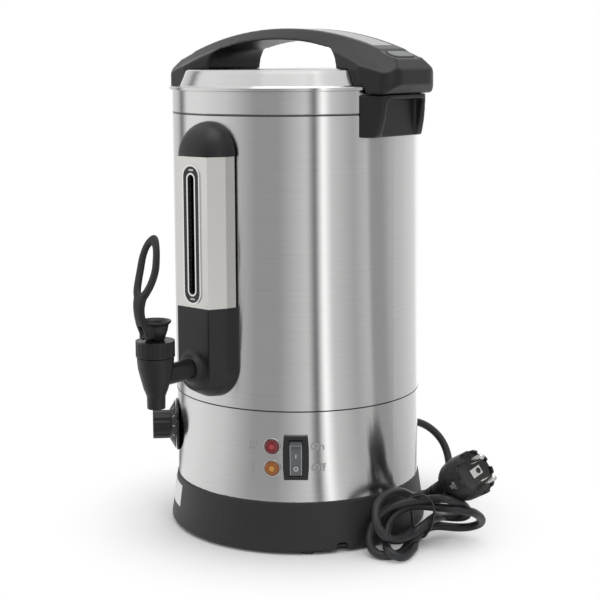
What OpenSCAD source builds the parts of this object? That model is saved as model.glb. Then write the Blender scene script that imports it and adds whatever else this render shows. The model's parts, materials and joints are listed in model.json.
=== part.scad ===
// Hot water urn of the eight litre class: a hanging steel tank in a double-walled body, the heater and
// the controls in the lower compartment, a lever tap with a sight gauge column, and a latched lift-off lid.
// Frame: +Z up, origin on the body axis at the table, the tap faces -Y and the side handles lie on X.
// Radial pieces are drawn facing -Y and turned to their angle, which counts from -Y towards +X.

/* [Body] */
// Outer diameter of the steel shell
body_d = 210; // [204:1:222]
// Thickness of the steel sheet
sheet_t = 0.8; // [0.6:0.1:1.2]
// Height of the plastic base above the table
base_h = 42; // [38:1:48]
// Outward flare of the base towards its foot
base_flare = 6; // [3:0.5:8]
// Height of the lower steel band that carries the controls
band_h = 75; // [75:1:84]
// Height of the outer shell above the band
shell_h = 236; // [228:1:270]
// Height of the tank collar from the shell to the rim
collar_h = 22; // [20:1:26]
// Air gap between the tank and the shell
tank_gap = 5.2; // [4.5:0.1:6.5]
// Height of the rubber feet
foot_h = 2.5; // [2:0.5:4]
// Radius of each rubber foot
foot_r = 7; // [5:0.5:8]

/* [Heater] */
// Radius of the heater plate under the tank
heater_r = 80; // [70:1:86]
// Thickness of the heater plate
heater_t = 6; // [4:0.5:7]
// Radius of the heating element's ring
element_ring_r = 60; // [50:1:64]
// Radius of the heating element's tube
element_r = 4; // [3:0.5:4.5]
// Depth of the heat shield below the band's flange
shield_drop = 14; // [13:0.5:16]

/* [Lid] */
// Height of the raised lid above the rim
lid_rise = 14.5; // [12:0.5:17]
// Overhang of the lid's lip past the shell
lip_out = 2.5; // [2:0.1:3.5]
// Inset of the lid's wall at its foot
lid_wall_in = 6.6; // [6:0.1:9]
// Inset of the lid's flat top
lid_top_in = 12; // [11:0.5:15]
// Width of the silicone seal below the lip
seal_w = 5.5; // [4:0.1:6]

/* [Lid handle] */
// Height of the arch above the rim
arch_rise = 48.5; // [46:0.5:52]
// Radius of the arch's top curve
arch_r = 300; // [280:5:330]
// Thickness of the arch at its crown
arch_t = 9.5; // [8:0.5:10.5]
// Width of the flat along the arch's top
arch_top_w = 36; // [32:1:40]
// Width of the arch
arch_w = 57; // [54:1:62]
// Distance of the hand opening's sides in from the shell
hand_inset = 34; // [32:1:38]
// Width of the end blocks beside the lid
block_w = 75; // [72:1:78]
// Reach of the end blocks past the shell
block_out = 21.5; // [20:0.5:24]
// Width of the inlay strip on the arch
inlay_w = 27; // [22:1:30]
// Length of the inlay strip
inlay_l = 186; // [150:2:190]
// Size of the latch button along the arch
latch_l = 11.5; // [9:0.5:12]
// Size of the latch button across the arch
latch_w = 28; // [24:1:30]
// Travel of the latch button
latch_travel = 2.5; // [1.5:0.5:3]

/* [Side handles] */
// Height of each side bracket
bracket_h = 34; // [31:1:38]
// Width of each side bracket on the shell
bracket_w = 77; // [74:1:80]
// Reach of the bracket's shelf past the shell
bracket_out = 13.5; // [13:0.5:15]
// Width of the finger recess
recess_w = 46; // [42:1:50]
// Thickness of the bracket's wall on the shell
bracket_t = 3.5; // [3:0.5:5]

/* [Gauge column] */
// Distance of the column's front from the shell
column_out = 22; // [21:0.5:24]
// Width of the column's flat front
column_front_w = 34.2; // [33:0.2:36]
// Width of the column on the shell
column_w = 51; // [49:0.5:54]
// Height of the column's foot above the shell's lower edge
column_lift = 7.5; // [6:0.5:12]
// Radius of the column's rounded ends
column_end_r = 27.5; // [26:0.5:29]
// Height of the black housing's straight part
housing_h = 49.5; // [48:0.5:54]
// Distance of the steel cover's top below the shell's top
cover_drop = 31; // [29:0.5:34]
// Width of the window's chrome ring
window_w = 19; // [18:0.5:20]
// Distance of the window's chrome ring from the cover's ends
window_margin = 4.5; // [4.5:0.5:9]
// Width of the slot in front of the sight tube
slot_w = 6.6; // [5.5:0.1:7.5]
// Distance of that slot's ends from the ring's ends
slot_margin = 8; // [7.5:0.5:12]
// Outer radius of the sight tube
tube_r = 4.6; // [4:0.1:4.8]

/* [Tap] */
// Distance of the tap's axis from the column's front
tap_out = 42.5; // [40:0.5:50]
// Height of the tap's pipe above the column's foot
tap_lift = 27; // [25:0.5:28]
// Outer radius of the tap's neck
neck_r = 8.2; // [7.6:0.1:8.6]
// Radius of the tap's threaded shank
shank_r = 7; // [6.4:0.1:7]
// Outer radius of the spout
spout_r = 7.2; // [6.8:0.1:8]
// Length of the spout below the pipe's centre
spout_drop = 25; // [23:0.5:30]
// Outer radius of the tap's body
tap_r = 14.6; // [14.2:0.1:15.4]
// Outer radius of the ribbed collar
collar_r = 15.4; // [15.2:0.1:16.5]
// Height of the lever above the collar
lever_h = 83; // [78:1:90]
// Width of the lever's loop
loop_w = 23; // [21:0.5:25]
// Tilt of the lever when it is pulled open, in degrees
lever_tilt = 30; // [20:1:30]

/* [Controls] */
// Angle of the switch around the body
switch_angle = 40; // [38:1:44]
// Angle of the two lamps
lamp_angle = 29.5; // [28:0.5:30]
// Angle of the thermostat knob
knob_angle = -43; // [-46:1:-40]
// Height of the knob above the middle of the switch
knob_rise = 3.6; // [0:0.2:6]
// Height of the controls above the band's lower edge
control_lift = 37.5; // [36:0.5:40]
// Width of the switch's bezel
bezel_w = 21; // [19:0.5:22]
// Height of the switch's bezel
bezel_h = 36; // [35:0.5:38]
// Swing radius of the rocker
rocker_r = 14.8; // [14:0.1:15]
// Width of the rocker
rocker_w = 10.3; // [9:0.1:11]
// Outer radius of each lamp's chrome ring
lamp_r = 6.35; // [6:0.05:7]
// Height between the two lamps
lamp_pitch = 18; // [16:0.5:19]
// Radius of the dial plate
dial_r = 22.4; // [21:0.2:24]
// Radius of the knob
knob_r = 12.8; // [12:0.2:14]
// Length of the knob
knob_l = 20; // [18:0.5:22]
// Radius of the thermostat's shaft
shaft_r = 3; // [2.5:0.1:3.2]

/* [Cord] */
// Diameter of the mains cord
cord_d = 7; // [6.5:0.1:7]
// Angle of the cord's exit around the body
cord_angle = 165; // [160:1:170]
// Height of the cord's exit above the band's lower edge
cord_lift = 20; // [18:0.5:24]
// Gap between the body and the middle of the tied hank
hank_gap = 28; // [26:1:32]
// Length of the strain relief outside the body
relief_l = 16; // [14:0.5:18]

/* [Hidden] */

$fn = 96;
soft_fn = 32;     // facets of small round details
cut = 1;          // how far a cutting body runs past the face it cuts
play = 0.05;      // radial play of a running fit
seat_gap = 0.1;   // gap round a piece that is fixed in its hole
body_gap = 0.3;   // gap between bodies that move against each other

// radii of the walls
body_r = body_d / 2;
shell_in = body_r - sheet_t;
band_r = body_r - 0.5;
band_in = band_r - sheet_t;
tank_r = shell_in - tank_gap;
tank_in = tank_r - sheet_t;

// levels
z_base = base_h;
z_band = z_base + band_h;
z_shell = z_band + shell_h;
z_rim = z_shell + collar_h;
z_lid = z_rim + lid_rise;
flange_w = 11.7;                 // band's inward flange that carries the shell
flange_z = z_band - sheet_t;
z_heater = z_band - 1;           // underside of the heater plate
z_tank = z_heater + heater_t;
z_shield = flange_z - shield_drop;
element_ends = [124, 56];        // angles of the element's terminals from +X
z_control = z_base + control_lift;

// base
base_wall = 2.7;
rim_step = 0.5;                  // base's top edge past the band
spigot_h = 8;                    // inner ring that the band slips over
base_floor_t = 3.5;
base_floor_in = body_r - 15;     // inner radius of the base's floor ring
plate_t = 1.5;
plate_r = body_r - 3;
screw_ring_r = body_r - 8;
notch_w = 9.3;
notch_h = 5.5;
notch_angles = [60, 180, 300];
foot_angles = [45, 135, 225, 315];
screw_angles = [0, 120, 240];
base_screw_r = 1.5;
base_head_r = 3.2;
base_head_t = 1.8;
plate_boss_r = 4;
plate_boss_h = 6.5;

// gauge column in plan, as half widths and distances from the axis
column_y = body_r + column_out;
column_shoulder_w = column_w - 3;
column_shoulder_y = body_r + 8;
column_back_y = body_r - 1;
column_root_y = body_r - 12;
z_column = z_band + column_lift;           // lowest point of the column's rounded foot
end_sink = column_end_r - sqrt(pow(column_end_r, 2) - pow(column_end_r - column_out, 2));
z_foot = z_column + column_end_r - end_sink;   // where the rounded foot starts
z_cover = z_foot + housing_h;
z_cap = z_shell - cover_drop;
cover_h = z_cap - z_cover;
window_h = cover_h - 2 * window_margin;
slot_h = window_h - 2 * slot_margin;
z_window = z_cover + cover_h / 2 - 1.8;     // middle of the window
housing_proud = 0.6;                       // plastic past the steel cover
channel_half = 12;
housing_wall = 1;                          // from the cover's front plane to the housing's inside
tee_r = 10;
tee_space = tee_r + 1;
tee_reach = 3.8;                           // tee past the sight tube's axis
tube_y = column_y - 9;                     // axis of the sight tube
insert_t = 1.8;
ring_t = 0.9;
window_ring_w = 1.2;

// tap
z_pipe = z_column + tap_lift;
tap_y = column_y + tap_out;                // distance of the tap's axis from the body axis
z_tube = z_pipe + 11;                      // foot of the sight tube
shank_bore = 4.5;
outlet_sleeve_r = 9.8;
sleeve_out = 5.5;                          // outlet sleeve past the shell, where the tee starts
z_spout = z_pipe - spout_drop;
z_chamber = z_pipe - 1.4;                  // seat of the valve
z_tap_top = z_pipe + 16.5;                 // shoulder under the collar
z_collar = z_tap_top + 0.5;
tap_collar_h = 12.5;
z_bonnet = z_collar + tap_collar_h;
bonnet_t = 3;
stem_r = 2.5;
chamber_r = 10.5;
z_stem_collar = z_chamber + 7.5;
stem_collar_t = 3;
z_pin = z_bonnet + 6;
pin_r = 1;
cam_w = 7.5;                               // half width of the lever's foot, which lifts the stem
spring_r = 5.2;
spring_wire_r = 0.7;
spring_turns = 6;
strap_t = 5;                               // thickness of the lever's strap

// lid and handle
hand_half = body_r - hand_inset;
lid_t = 1;
lip_r = body_r + lip_out;
lip_drop = 1.6;
lid_wall_r = body_r - lid_wall_in;
lid_top_r = body_r - lid_top_in;
skirt_drop = 7;
lid_screw_r = 2;
lid_screw_l = 12;
z_arch = z_rim + arch_rise;                // crown of the arch
arch_zc = z_arch - arch_r;                 // centre of its top curve
opening_r = 250;                           // radius of the hand opening's roof
block_x = body_r + block_out;
block_tip_w = 44;                          // width of the block's outer face before its corners
block_corner_r = 18;
z_block = z_rim - 5.2;                     // underside of the blocks
block_bevel = 8;                           // slope of the blocks' lower edge
block_face = 19;                           // top of the blocks' outer face above their underside
hand_corner = 14;                          // rounding of the hand opening's upper corners
handle_clear = 1;                          // gap between the blocks and the lid's lip
latch_x = block_x - 15.5;
latch_slope = asin(latch_x / arch_r);
latch_t = 4.5;
latch_sink = 0.4;                          // button's top below the arch's surface
inlay_t = 1;

// side brackets
z_shelf = z_block - body_gap;              // top of the bracket's shelf
z_bracket = z_shelf - bracket_h;
shelf_t = 4;
rib_top_x = body_r + 12;
rib_mid_x = body_r + 9.5;
rib_foot_x = body_r + 4;
bracket_corner_r = 10;
handle_screw_angle = 9;
handle_screw_r = 2;
z_handle_screw = z_bracket + 9;

// controls
bezel_t = 2.2;
bezel_pinch = 1.6;                         // how much narrower the bezel's ends are
control_face = band_r + 0.1;               // back plane of the pieces on the band
rocker_pivot = control_face + bezel_t - 4.2;
rocker_rest = 9;                           // tilt of the rocker at rest, in degrees
rocker_face = 4;                           // height of the rocker's ridge above its pivot
well_depth = 8.6;                          // from the pivot to the well's floor
well_h = 2 * rocker_r + 0.4;
well_w = rocker_w + 0.4;
switch_body_h = well_h + 2.4;
switch_body_w = well_w + 2.4;
switch_depth = 24;
lamp_ring_t = 1.8;
lamp_barrel_r = 4.9;
lamp_barrel_l = 15;
dial_t = 1.5;
z_knob = z_control + knob_rise;
dial_face = control_face + dial_t;
knob_gap = 0.5;
thermo_box = 30;
thermo_depth = 16;
thermo_front = band_in - 4;
thermo_neck_r = 4.8;
dial_screw_pitch = 16;
dial_screw_head_r = 2.2;
terminal_pos = [0, 40];
terminal_size = [44, 20, 16];

// cord
cord_r = cord_d / 2;
z_cord = z_base + cord_lift;
relief_r = 6;
relief_end = band_r + relief_l;
hank_r = cord_r + 0.3;                      // rounding of the hank's outer shape
hank_x = body_r + hank_gap;
hank_tall = [[-6.5, 2, 3.9], [28.5, 0, 45], [-6, -49, 3.9], [35.5, 4, 36.5], [-18.5, -23, 44.5],
  [11, -46, 5], [-17, -2.5, 43], [-21.5, -41.5, 13.5], [-10, -46.5, 28]];
hank_flat = [[-20, 41.5, 3.9], [28.5, 0, 45], [-5.5, -4, 33.5], [27.5, 42.5, 12.5], [-6.5, 2, 3.9],
  [-19, 14, 34], [41.5, 12, 34.5], [-17, -2.5, 43], [-13, 25.5, 34.5]];

function arc(cx, cy, r, a0, a1, n = 8) =
  [for (i = [0:n]) let (a = a0 + (a1 - a0) * i / n) [cx + r * cos(a), cy + r * sin(a)]];
function mirrored(pts) = concat(pts, [for (i = [len(pts) - 1:-1:0]) [-pts[i][0], pts[i][1]]]);

// a point on the cubic through p1 and p2 with p0 and p3 as neighbours, 0 <= t <= 1
function spline_point(p0, p1, p2, p3, t) =
  0.5 * (2 * p1 + (p2 - p0) * t + (2 * p0 - 5 * p1 + 4 * p2 - p3) * t * t
  + (3 * p1 - p0 - 3 * p2 + p3) * t * t * t);
function spline(pts, steps) =
  let (last = len(pts) - 1)
  concat([for (i = [0:last - 1], k = [0:steps - 1])
    spline_point(pts[max(i - 1, 0)], pts[i], pts[i + 1], pts[min(i + 2, last)], k / steps)],
    [pts[last]]);
function unit(v) = v / norm(v);

// closed tube of the given radius along a path, with flat ends square to the path
module sweep(path, r, sides = 8) {
  n = len(path);
  dirs = [for (i = [0:n - 1]) unit(path[min(i + 1, n - 1)] - path[max(i - 1, 0)])];
  across = [for (i = [0:n - 1]) unit(cross(dirs[i], abs(dirs[i][2]) > 0.9 ? [1, 0, 0] : [0, 0, 1]))];
  points = [for (i = [0:n - 1], k = [0:sides - 1])
    let (a = 360 * k / sides, u = across[i], v = cross(u, dirs[i]))
    path[i] + r * (cos(a) * u + sin(a) * v)];
  walls = [for (i = [0:n - 2], k = [0:sides - 1])
    [i * sides + k, i * sides + (k + 1) % sides, (i + 1) * sides + (k + 1) % sides,
     (i + 1) * sides + k]];
  ends = [[for (k = [sides - 1:-1:0]) k], [for (k = [0:sides - 1]) (n - 1) * sides + k]];
  polyhedron(points, concat(walls, ends), convexity = 10);
}

// children drawn facing -Y are put at an angle, a distance from the axis and a height
module facing(angle, dist, z) {
  rotate([0, 0, angle]) translate([0, -dist, z]) children();
}

// cylinder that points outwards from the place that facing() gives, with its seam on top
module out_rod(r, from, to) {
  translate([0, -from, 0]) rotate([90, 0, 0]) rotate([0, 0, 90]) cylinder(r = r, h = to - from);
}

module ring(outer, inner, h) {
  difference() {
    cylinder(r = outer, h = h);
    translate([0, 0, -cut]) cylinder(r = inner, h = h + 2 * cut);
  }
}

// upright slab with half-round ends, its back at y = 0 and its front at y = -t
module pill(w, h, t) {
  rotate([90, 0, 0]) linear_extrude(t) {
    for (s = [-1, 1]) translate([0, s * (h - w) / 2]) circle(d = w);
    square([w, h - w], center = true);
  }
}

module pill_ring(w, h, rim, t) {
  difference() {
    pill(w, h, t);
    translate([0, cut, 0]) pill(w - 2 * rim, h - 2 * rim, t + 2 * cut);
  }
}

module shell_space(r = body_r) {
  translate([0, 0, -cut]) cylinder(r = r, h = z_arch);
}

// ---------------------------------------------------------------- base
module base_ring() {
  top = band_r + rim_step;
  foot = body_r + base_flare;
  color("#3b3c3e") difference() {
    rotate_extrude() polygon([
      [foot, foot_h], [top + 0.5, z_base - 1], [top, z_base],
      [band_in - seat_gap, z_base], [band_in - seat_gap, z_base + spigot_h],
      [band_in - seat_gap - 2, z_base + spigot_h], [band_in - seat_gap - 2, z_base - 3],
      [foot - base_wall - 1, foot_h + base_floor_t], [base_floor_in, foot_h + base_floor_t],
      [base_floor_in, foot_h]]);
    for (a = notch_angles) facing(a, foot, foot_h + notch_h / 2)
      cube([notch_w, 2 * base_wall + 4, notch_h + 0.02], center = true);
    for (a = screw_angles) facing(a, screw_ring_r, foot_h) {
      translate([0, 0, -cut]) cylinder(r = base_screw_r + seat_gap, h = base_floor_t + 2 * cut);
      translate([0, 0, -cut]) cylinder(r = base_head_r + seat_gap, h = base_head_t + cut);
    }
  }
}

module bottom_plate() {
  z = foot_h + base_floor_t;
  slot_rows = 4;
  color("silver") difference() {
    union() {
      translate([0, 0, z]) cylinder(r = plate_r, h = plate_t);
      for (a = screw_angles) facing(a, screw_ring_r, z + plate_t / 2)
        cylinder(r = plate_boss_r, h = plate_t / 2 + plate_boss_h, $fn = soft_fn);
    }
    for (a = screw_angles) facing(a, screw_ring_r, z - cut)
      cylinder(r = base_screw_r, h = plate_t + plate_boss_h + 2 * cut);
    for (row = [0:slot_rows - 1], s = [-1, 1]) translate([s * 30, -54 + 12 * row, z + plate_t / 2])
      cube([40, 3, plate_t + 2 * cut], center = true);
  }
}

module rubber_feet() {
  color("#202122") for (a = foot_angles) facing(a, body_r - 3, 0)
    rotate_extrude($fn = soft_fn) polygon([[0, 0], [foot_r - 1, 0], [foot_r, foot_h], [0, foot_h]]);
}

module base_screws() {
  color("silver") for (a = screw_angles) facing(a, screw_ring_r, foot_h + 0.2) {
    cylinder(r = base_head_r, h = base_head_t - 0.2);
    cylinder(r = base_screw_r, h = base_floor_t + plate_t + plate_boss_h - 1);
  }
}

// ---------------------------------------------------------------- steel body and tank
module lower_band() {
  color("#c4c5c5") difference() {
    union() {
      translate([0, 0, z_base]) ring(band_r, band_in, band_h);
      translate([0, 0, flange_z]) ring(band_in + 0.1, band_r - flange_w, sheet_t);
    }
    facing(switch_angle, 0, z_control) translate([0, -band_r, 0])
      cube([switch_body_w + 2 * seat_gap, 12, switch_body_h + 2 * seat_gap], center = true);
    for (s = [-1, 1]) facing(lamp_angle, 0, z_control + s * lamp_pitch / 2)
      out_rod(lamp_barrel_r + seat_gap, band_in - 4, band_r + 4);
    facing(knob_angle, 0, z_knob) {
      out_rod(thermo_neck_r + seat_gap, band_in - 4, band_r + 4);
      for (s = [-1, 1]) translate([0, 0, s * dial_screw_pitch / 2])
        out_rod(1.6, band_in - 4, band_r + 4);
    }
    facing(cord_angle, 0, z_cord) out_rod(relief_r + seat_gap, band_in - 4, band_r + 4);
  }
}

module outer_shell() {
  color("#c9caca") difference() {
    translate([0, 0, z_band]) ring(body_r, shell_in, shell_h);
    facing(0, 0, z_pipe) out_rod(outlet_sleeve_r + seat_gap, shell_in - 4, body_r + 4);
    for (s = [-1, 1], t = [-1, 1]) facing(s * 90 + t * handle_screw_angle, 0, z_handle_screw)
      out_rod(handle_screw_r + seat_gap, shell_in - 4, body_r + 4);
  }
}
// sheet tank that widens to the body's width at its collar and ends in an outward bead
module inner_tank() {
  ledge_r = body_r - 0.45;
  groove_h = 1.5;
  bead = 1.3;
  color("#bfc0c0") difference() {
    rotate_extrude() polygon([
      [0, z_tank], [tank_r, z_tank], [tank_r, z_shell], [ledge_r, z_shell],
      [ledge_r, z_shell + groove_h], [body_r, z_shell + groove_h + 0.6], [body_r, z_rim - 2.4],
      [body_r + bead, z_rim - 1.8], [body_r + bead, z_rim - 0.6], [body_r + bead - 0.6, z_rim],
      [shell_in, z_rim], [shell_in, z_shell + groove_h + 0.6],
      [ledge_r - sheet_t, z_shell + groove_h], [ledge_r - sheet_t, z_shell + sheet_t],
      [tank_in, z_shell + sheet_t], [tank_in, z_tank + 1.2], [0, z_tank + 1.2]]);
    facing(0, 0, z_pipe) out_rod(shank_r + seat_gap, tank_in - 6, tank_r + 4);
  }
}

// ---------------------------------------------------------------- heater
module heater_plate() {
  color("#b4b5b8") translate([0, 0, z_heater]) cylinder(r = heater_r, h = heater_t);
}

// ring of tube under the plate, open towards the back, with a terminal pin near each end
module heating_element() {
  z = z_heater - element_r;
  color("#5a5652") {
    translate([0, 0, z]) rotate([0, 0, element_ends[0] - 4]) rotate_extrude(angle = 300)
      translate([element_ring_r, 0]) circle(r = element_r, $fn = soft_fn);
    for (a = element_ends) rotate([0, 0, a]) translate([element_ring_r, 0, z_shield - 8])
      cylinder(r = element_r - 1, h = z - z_shield + 8, $fn = soft_fn);
  }
}

// steel pan hung under the band's flange, with holes for the terminals and the wires
module heat_shield() {
  hole_r = element_r + 2;
  wall_r = band_r - flange_w + 1.4;
  color("#a9aaac") difference() {
    rotate_extrude() polygon([
      [0, z_shield], [wall_r, z_shield], [wall_r, flange_z - sheet_t], [wall_r + 5, flange_z - sheet_t],
      [wall_r + 5, flange_z], [wall_r - sheet_t, flange_z], [wall_r - sheet_t, z_shield + sheet_t],
      [0, z_shield + sheet_t]]);
    for (a = element_ends) rotate([0, 0, a]) translate([element_ring_r, 0, z_shield - cut])
      cylinder(r = hole_r, h = 4, $fn = soft_fn);
    translate([0, 0, z_shield - cut]) cylinder(r = 11, h = 4);
    translate([0, -30, z_shield - cut]) cylinder(r = 4, h = 4, $fn = soft_fn);
  }
}

module thermal_cutout() {
  color("#d8d2c4") translate([0, 0, z_heater - 7]) {
    cylinder(r = 8, h = 7);
    for (s = [-1, 1]) translate([s * 4 - 0.4, -3, -8]) cube([0.8, 6, 8.5]);
  }
}

// ---------------------------------------------------------------- thermostat
module thermostat_body() {
  color("#8f8f92") facing(knob_angle, 0, z_knob) difference() {
    union() {
      translate([0, -(thermo_front - thermo_depth / 2), 0])
        cube([thermo_box, thermo_depth, thermo_box], center = true);
      out_rod(thermo_neck_r, thermo_front - 2, dial_face - 0.2);
      for (s = [-1, 1]) translate([0, 0, s * dial_screw_pitch / 2])
        out_rod(3.6, thermo_front - 2, band_in - 0.3);
    }
    out_rod(shaft_r + play, thermo_front - 12, dial_face + cut);
    for (s = [-1, 1]) translate([0, 0, s * dial_screw_pitch / 2])
      out_rod(1.3, thermo_front - 8, band_r);
  }
}

// copper capillary from the thermostat to its bulb under the heater plate
module capillary_bulb() {
  bulb_r = 3;
  z = z_heater - bulb_r;
  back = thermo_front - thermo_depth;
  start = [back * sin(knob_angle), -back * cos(knob_angle), z_knob + 4];
  color("#b5713f") {
    translate([0, -50, z]) rotate([-90, 0, 0]) cylinder(r = bulb_r, h = 40, $fn = soft_fn);
    sweep(spline([start, start + [-26 * sin(knob_angle), 26 * cos(knob_angle), 1], [-6, -36, z_control + 8], [0, -30, z_shield - 2],
      [0, -30, z_shield + 6], [0, -30, z]], 5), 1, 6);
  }
}

module thermostat_screws() {
  color("silver") facing(knob_angle, 0, z_knob) for (s = [-1, 1])
    translate([0, 0, s * dial_screw_pitch / 2]) {
      out_rod(1.3, thermo_front - 6, dial_face + 0.1);
      out_rod(dial_screw_head_r, dial_face, dial_face + 1);
    }
}

module dial_plate() {
  color("#242526") facing(knob_angle, 0, z_knob) difference() {
    out_rod(dial_r, control_face, dial_face);
    out_rod(thermo_neck_r, control_face - cut, dial_face + cut);
    for (s = [-1, 1]) translate([0, 0, s * dial_screw_pitch / 2])
      out_rod(1.3, control_face - cut, dial_face + cut);
  }
}

// knob with a flat-sided grip and a hollow foot over the dial's screws
module control_knob() {
  flutes = 12;
  foot = dial_face + knob_gap;
  tip = foot + knob_l;
  color("#26272a") facing(knob_angle, 0, z_knob) difference() {
    union() {
      out_rod(knob_r, foot, foot + 5);
      out_rod(knob_r - 0.6, foot + 4.9, tip);
    }
    out_rod(knob_r - 2, foot - cut, foot + 2);
    out_rod(shaft_r, foot - cut, tip - 4);
    for (k = [0:flutes - 1]) rotate([0, 360 * k / flutes, 0]) translate([knob_r + 1.2, 0, 0])
      out_rod(2.6, foot + 5, tip + cut);
    translate([0, -tip, knob_r * 0.55]) cube([1.4, 1.2, knob_r], center = true);
  }
}

module thermostat_shaft() {
  color("#b9bbbd") facing(knob_angle, 0, z_knob)
    out_rod(shaft_r, thermo_front - 11.5, dial_face + knob_gap + knob_l - 4);
}

// ---------------------------------------------------------------- wiring
module terminal_block() {
  z = foot_h + base_floor_t + plate_t;
  color("#d9d6cc") difference() {
    translate([terminal_pos[0] - terminal_size[0] / 2, terminal_pos[1] - terminal_size[1] / 2, z])
      cube(terminal_size);
    for (k = [-2:2]) translate([terminal_pos[0] + 8.5 * k, terminal_pos[1], z + terminal_size[2] - 5])
      cylinder(r = 2.2, h = 6, $fn = soft_fn);
  }
}

// leads from the terminal block to the gland, switch, lamps, thermostat and heater
module wire_harness() {
  z_top = foot_h + base_floor_t + plate_t + terminal_size[2] + 0.2;
  switch_back = band_r - switch_depth;
  lamp_back = band_r - lamp_barrel_l;
  thermo_back = thermo_front - thermo_depth;
  relief_back = band_in - 8;
  targets = [
    [relief_back * sin(cord_angle), -relief_back * cos(cord_angle), z_cord],
    [switch_back * sin(switch_angle), -switch_back * cos(switch_angle), z_control],
    [lamp_back * sin(lamp_angle), -lamp_back * cos(lamp_angle), z_control + lamp_pitch / 2],
    [lamp_back * sin(lamp_angle), -lamp_back * cos(lamp_angle), z_control - lamp_pitch / 2],
    [thermo_back * sin(knob_angle), -thermo_back * cos(knob_angle), z_knob - 6],
    [element_ring_r * cos(element_ends[1]), element_ring_r * sin(element_ends[1]), z_shield - 8.2],
    [element_ring_r * cos(element_ends[0]), element_ring_r * sin(element_ends[0]), z_shield - 8.2]];
  starts = [-14, 16, 12, 8, -8, 4, -3];
  color("#a03028") for (i = [0:len(targets) - 1]) {
    from = [terminal_pos[0] + starts[i], terminal_pos[1], z_top];
    to = targets[i];
    vertical = i > 4;
    near = vertical ? to - [0, 0, 14] : [to[0] * 0.86, to[1] * 0.86, to[2] - 2];
    sweep(spline([from, from + [0, 0, 5], from + [0, 0, 11], (from + near) / 2 + [0, 0, 3 + i], near, to],
      3), 1.1, 6);
  }
}

// gland in the band: inner nut, flange and a short tapered boot that the cord leaves
module strain_relief() {
  color("#1f2021") facing(cord_angle, 0, z_cord) translate([0, 0, 0]) rotate([90, 0, 0]) {
    rotate_extrude() polygon([
      [0, band_in - 8], [8, band_in - 8], [8, band_in - 1.2], [relief_r, band_in - 1.2],
      [relief_r, control_face], [8.5, control_face], [8.5, control_face + 2], [7, control_face + 3],
      [6.2, control_face + 3.2], [cord_r + 1, relief_end], [0, relief_end]]);
  }
}

// ---------------------------------------------------------------- switch and lamps
module switch_housing() {
  face = control_face + bezel_t;
  half = bezel_h / 2;
  mid = bezel_w / 2;
  tip = mid - bezel_pinch / 2;
  color("#232426") facing(switch_angle, 0, z_control) difference() {
    union() {
      translate([0, -control_face, 0]) rotate([90, 0, 0]) linear_extrude(bezel_t)
        polygon([[-tip, half], [tip, half], [mid, half * 0.45], [mid, -half * 0.45], [tip, -half],
          [-tip, -half], [-mid, -half * 0.45], [-mid, half * 0.45]]);
      translate([0, -(control_face + 0.1 - switch_depth / 2), 0])
        cube([switch_body_w, switch_depth, switch_body_h], center = true);
    }
    translate([-well_w / 2, -(face + cut), -well_h / 2])
      cube([well_w, face + cut - rocker_pivot + well_depth, well_h]);
    translate([0, -rocker_pivot, 0]) rotate([0, 90, 0])
      cylinder(r = 1.2 + play, h = switch_body_w - 1, center = true);
  }
}

// two-faced rocker with arc ends about its pivot pins, lower half pressed in at rest
module switch_rocker() {
  ridge = rocker_face;
  rise = rocker_r * tan(rocker_rest);
  color("#3a3d42") facing(switch_angle, rocker_pivot, z_control) rotate([rocker_rest, 0, 0]) {
    intersection() {
      rotate([90, 0, 90]) linear_extrude(rocker_w, center = true)
        polygon([[5.5, -rocker_r], [5.5, rocker_r], [-ridge - rise, rocker_r], [-ridge, 0],
          [-ridge - rise, -rocker_r]]);
      rotate([0, 90, 0]) cylinder(r = rocker_r, h = rocker_w, center = true);
    }
    rotate([0, 90, 0]) cylinder(r = 1.2, h = switch_body_w - 1.2, center = true);
  }
}

module lamp_at(s) {
  facing(lamp_angle, 0, z_control + s * lamp_pitch / 2) children();
}

module lamp_bezels() {
  color("#d5d6d8") for (s = [-1, 1]) lamp_at(s) difference() {
    union() {
      out_rod(lamp_r, control_face, control_face + lamp_ring_t);
      out_rod(lamp_barrel_r, band_r - lamp_barrel_l, control_face + 0.5);
    }
    out_rod(lamp_barrel_r - 0.9, band_r - lamp_barrel_l + 1, control_face + 0.6);
    out_rod(lamp_r - 1.1, control_face + 0.6, control_face + lamp_ring_t + cut);
  }
}

module lamp_lens(s) {
  lens_r = lamp_r - 1.1;
  lamp_at(s) translate([0, -(control_face + 0.6), 0]) rotate([90, 0, 0])
    rotate_extrude() polygon(concat([[0, -6], [lamp_barrel_r - 0.9, -6], [lamp_barrel_r - 0.9, 0],
      [lens_r, 0], [lens_r, 1.2]], [for (a = [30:20:90]) [lens_r * cos(a), 0.6 + 1.8 * sin(a)]]));
}

module lamp_red() {
  color("#a81020") lamp_lens(1);
}

module lamp_amber() {
  color("#c87f22") lamp_lens(-1);
}

// ---------------------------------------------------------------- gauge column
// plan of the column, grown outwards by o
function column_plan(o) = mirrored([
  [column_w / 2 + o, -column_root_y], [column_w / 2 + o, -column_back_y],
  [column_shoulder_w / 2 + o, -column_shoulder_y], [column_front_w / 2 + 0.6 * o, -column_y - o]]);

module column_prism(o, z0, z1) {
  translate([0, 0, z0]) linear_extrude(z1 - z0) polygon(column_plan(o));
}

// half-round end of the column, growing up (dir 1) or down (dir -1) from z
module column_end(o, z, dir) {
  r = column_end_r + o;
  intersection() {
    column_prism(o, dir > 0 ? z : z - r, dir > 0 ? z + r : z);
    translate([0, -column_root_y, z]) rotate([90, 0, 0]) cylinder(r = r, h = column_out + 20);
    translate([0, -(column_y - column_end_r), z]) rotate([0, 90, 0])
      cylinder(r = r, h = column_w + 10, center = true);
  }
}

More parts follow.
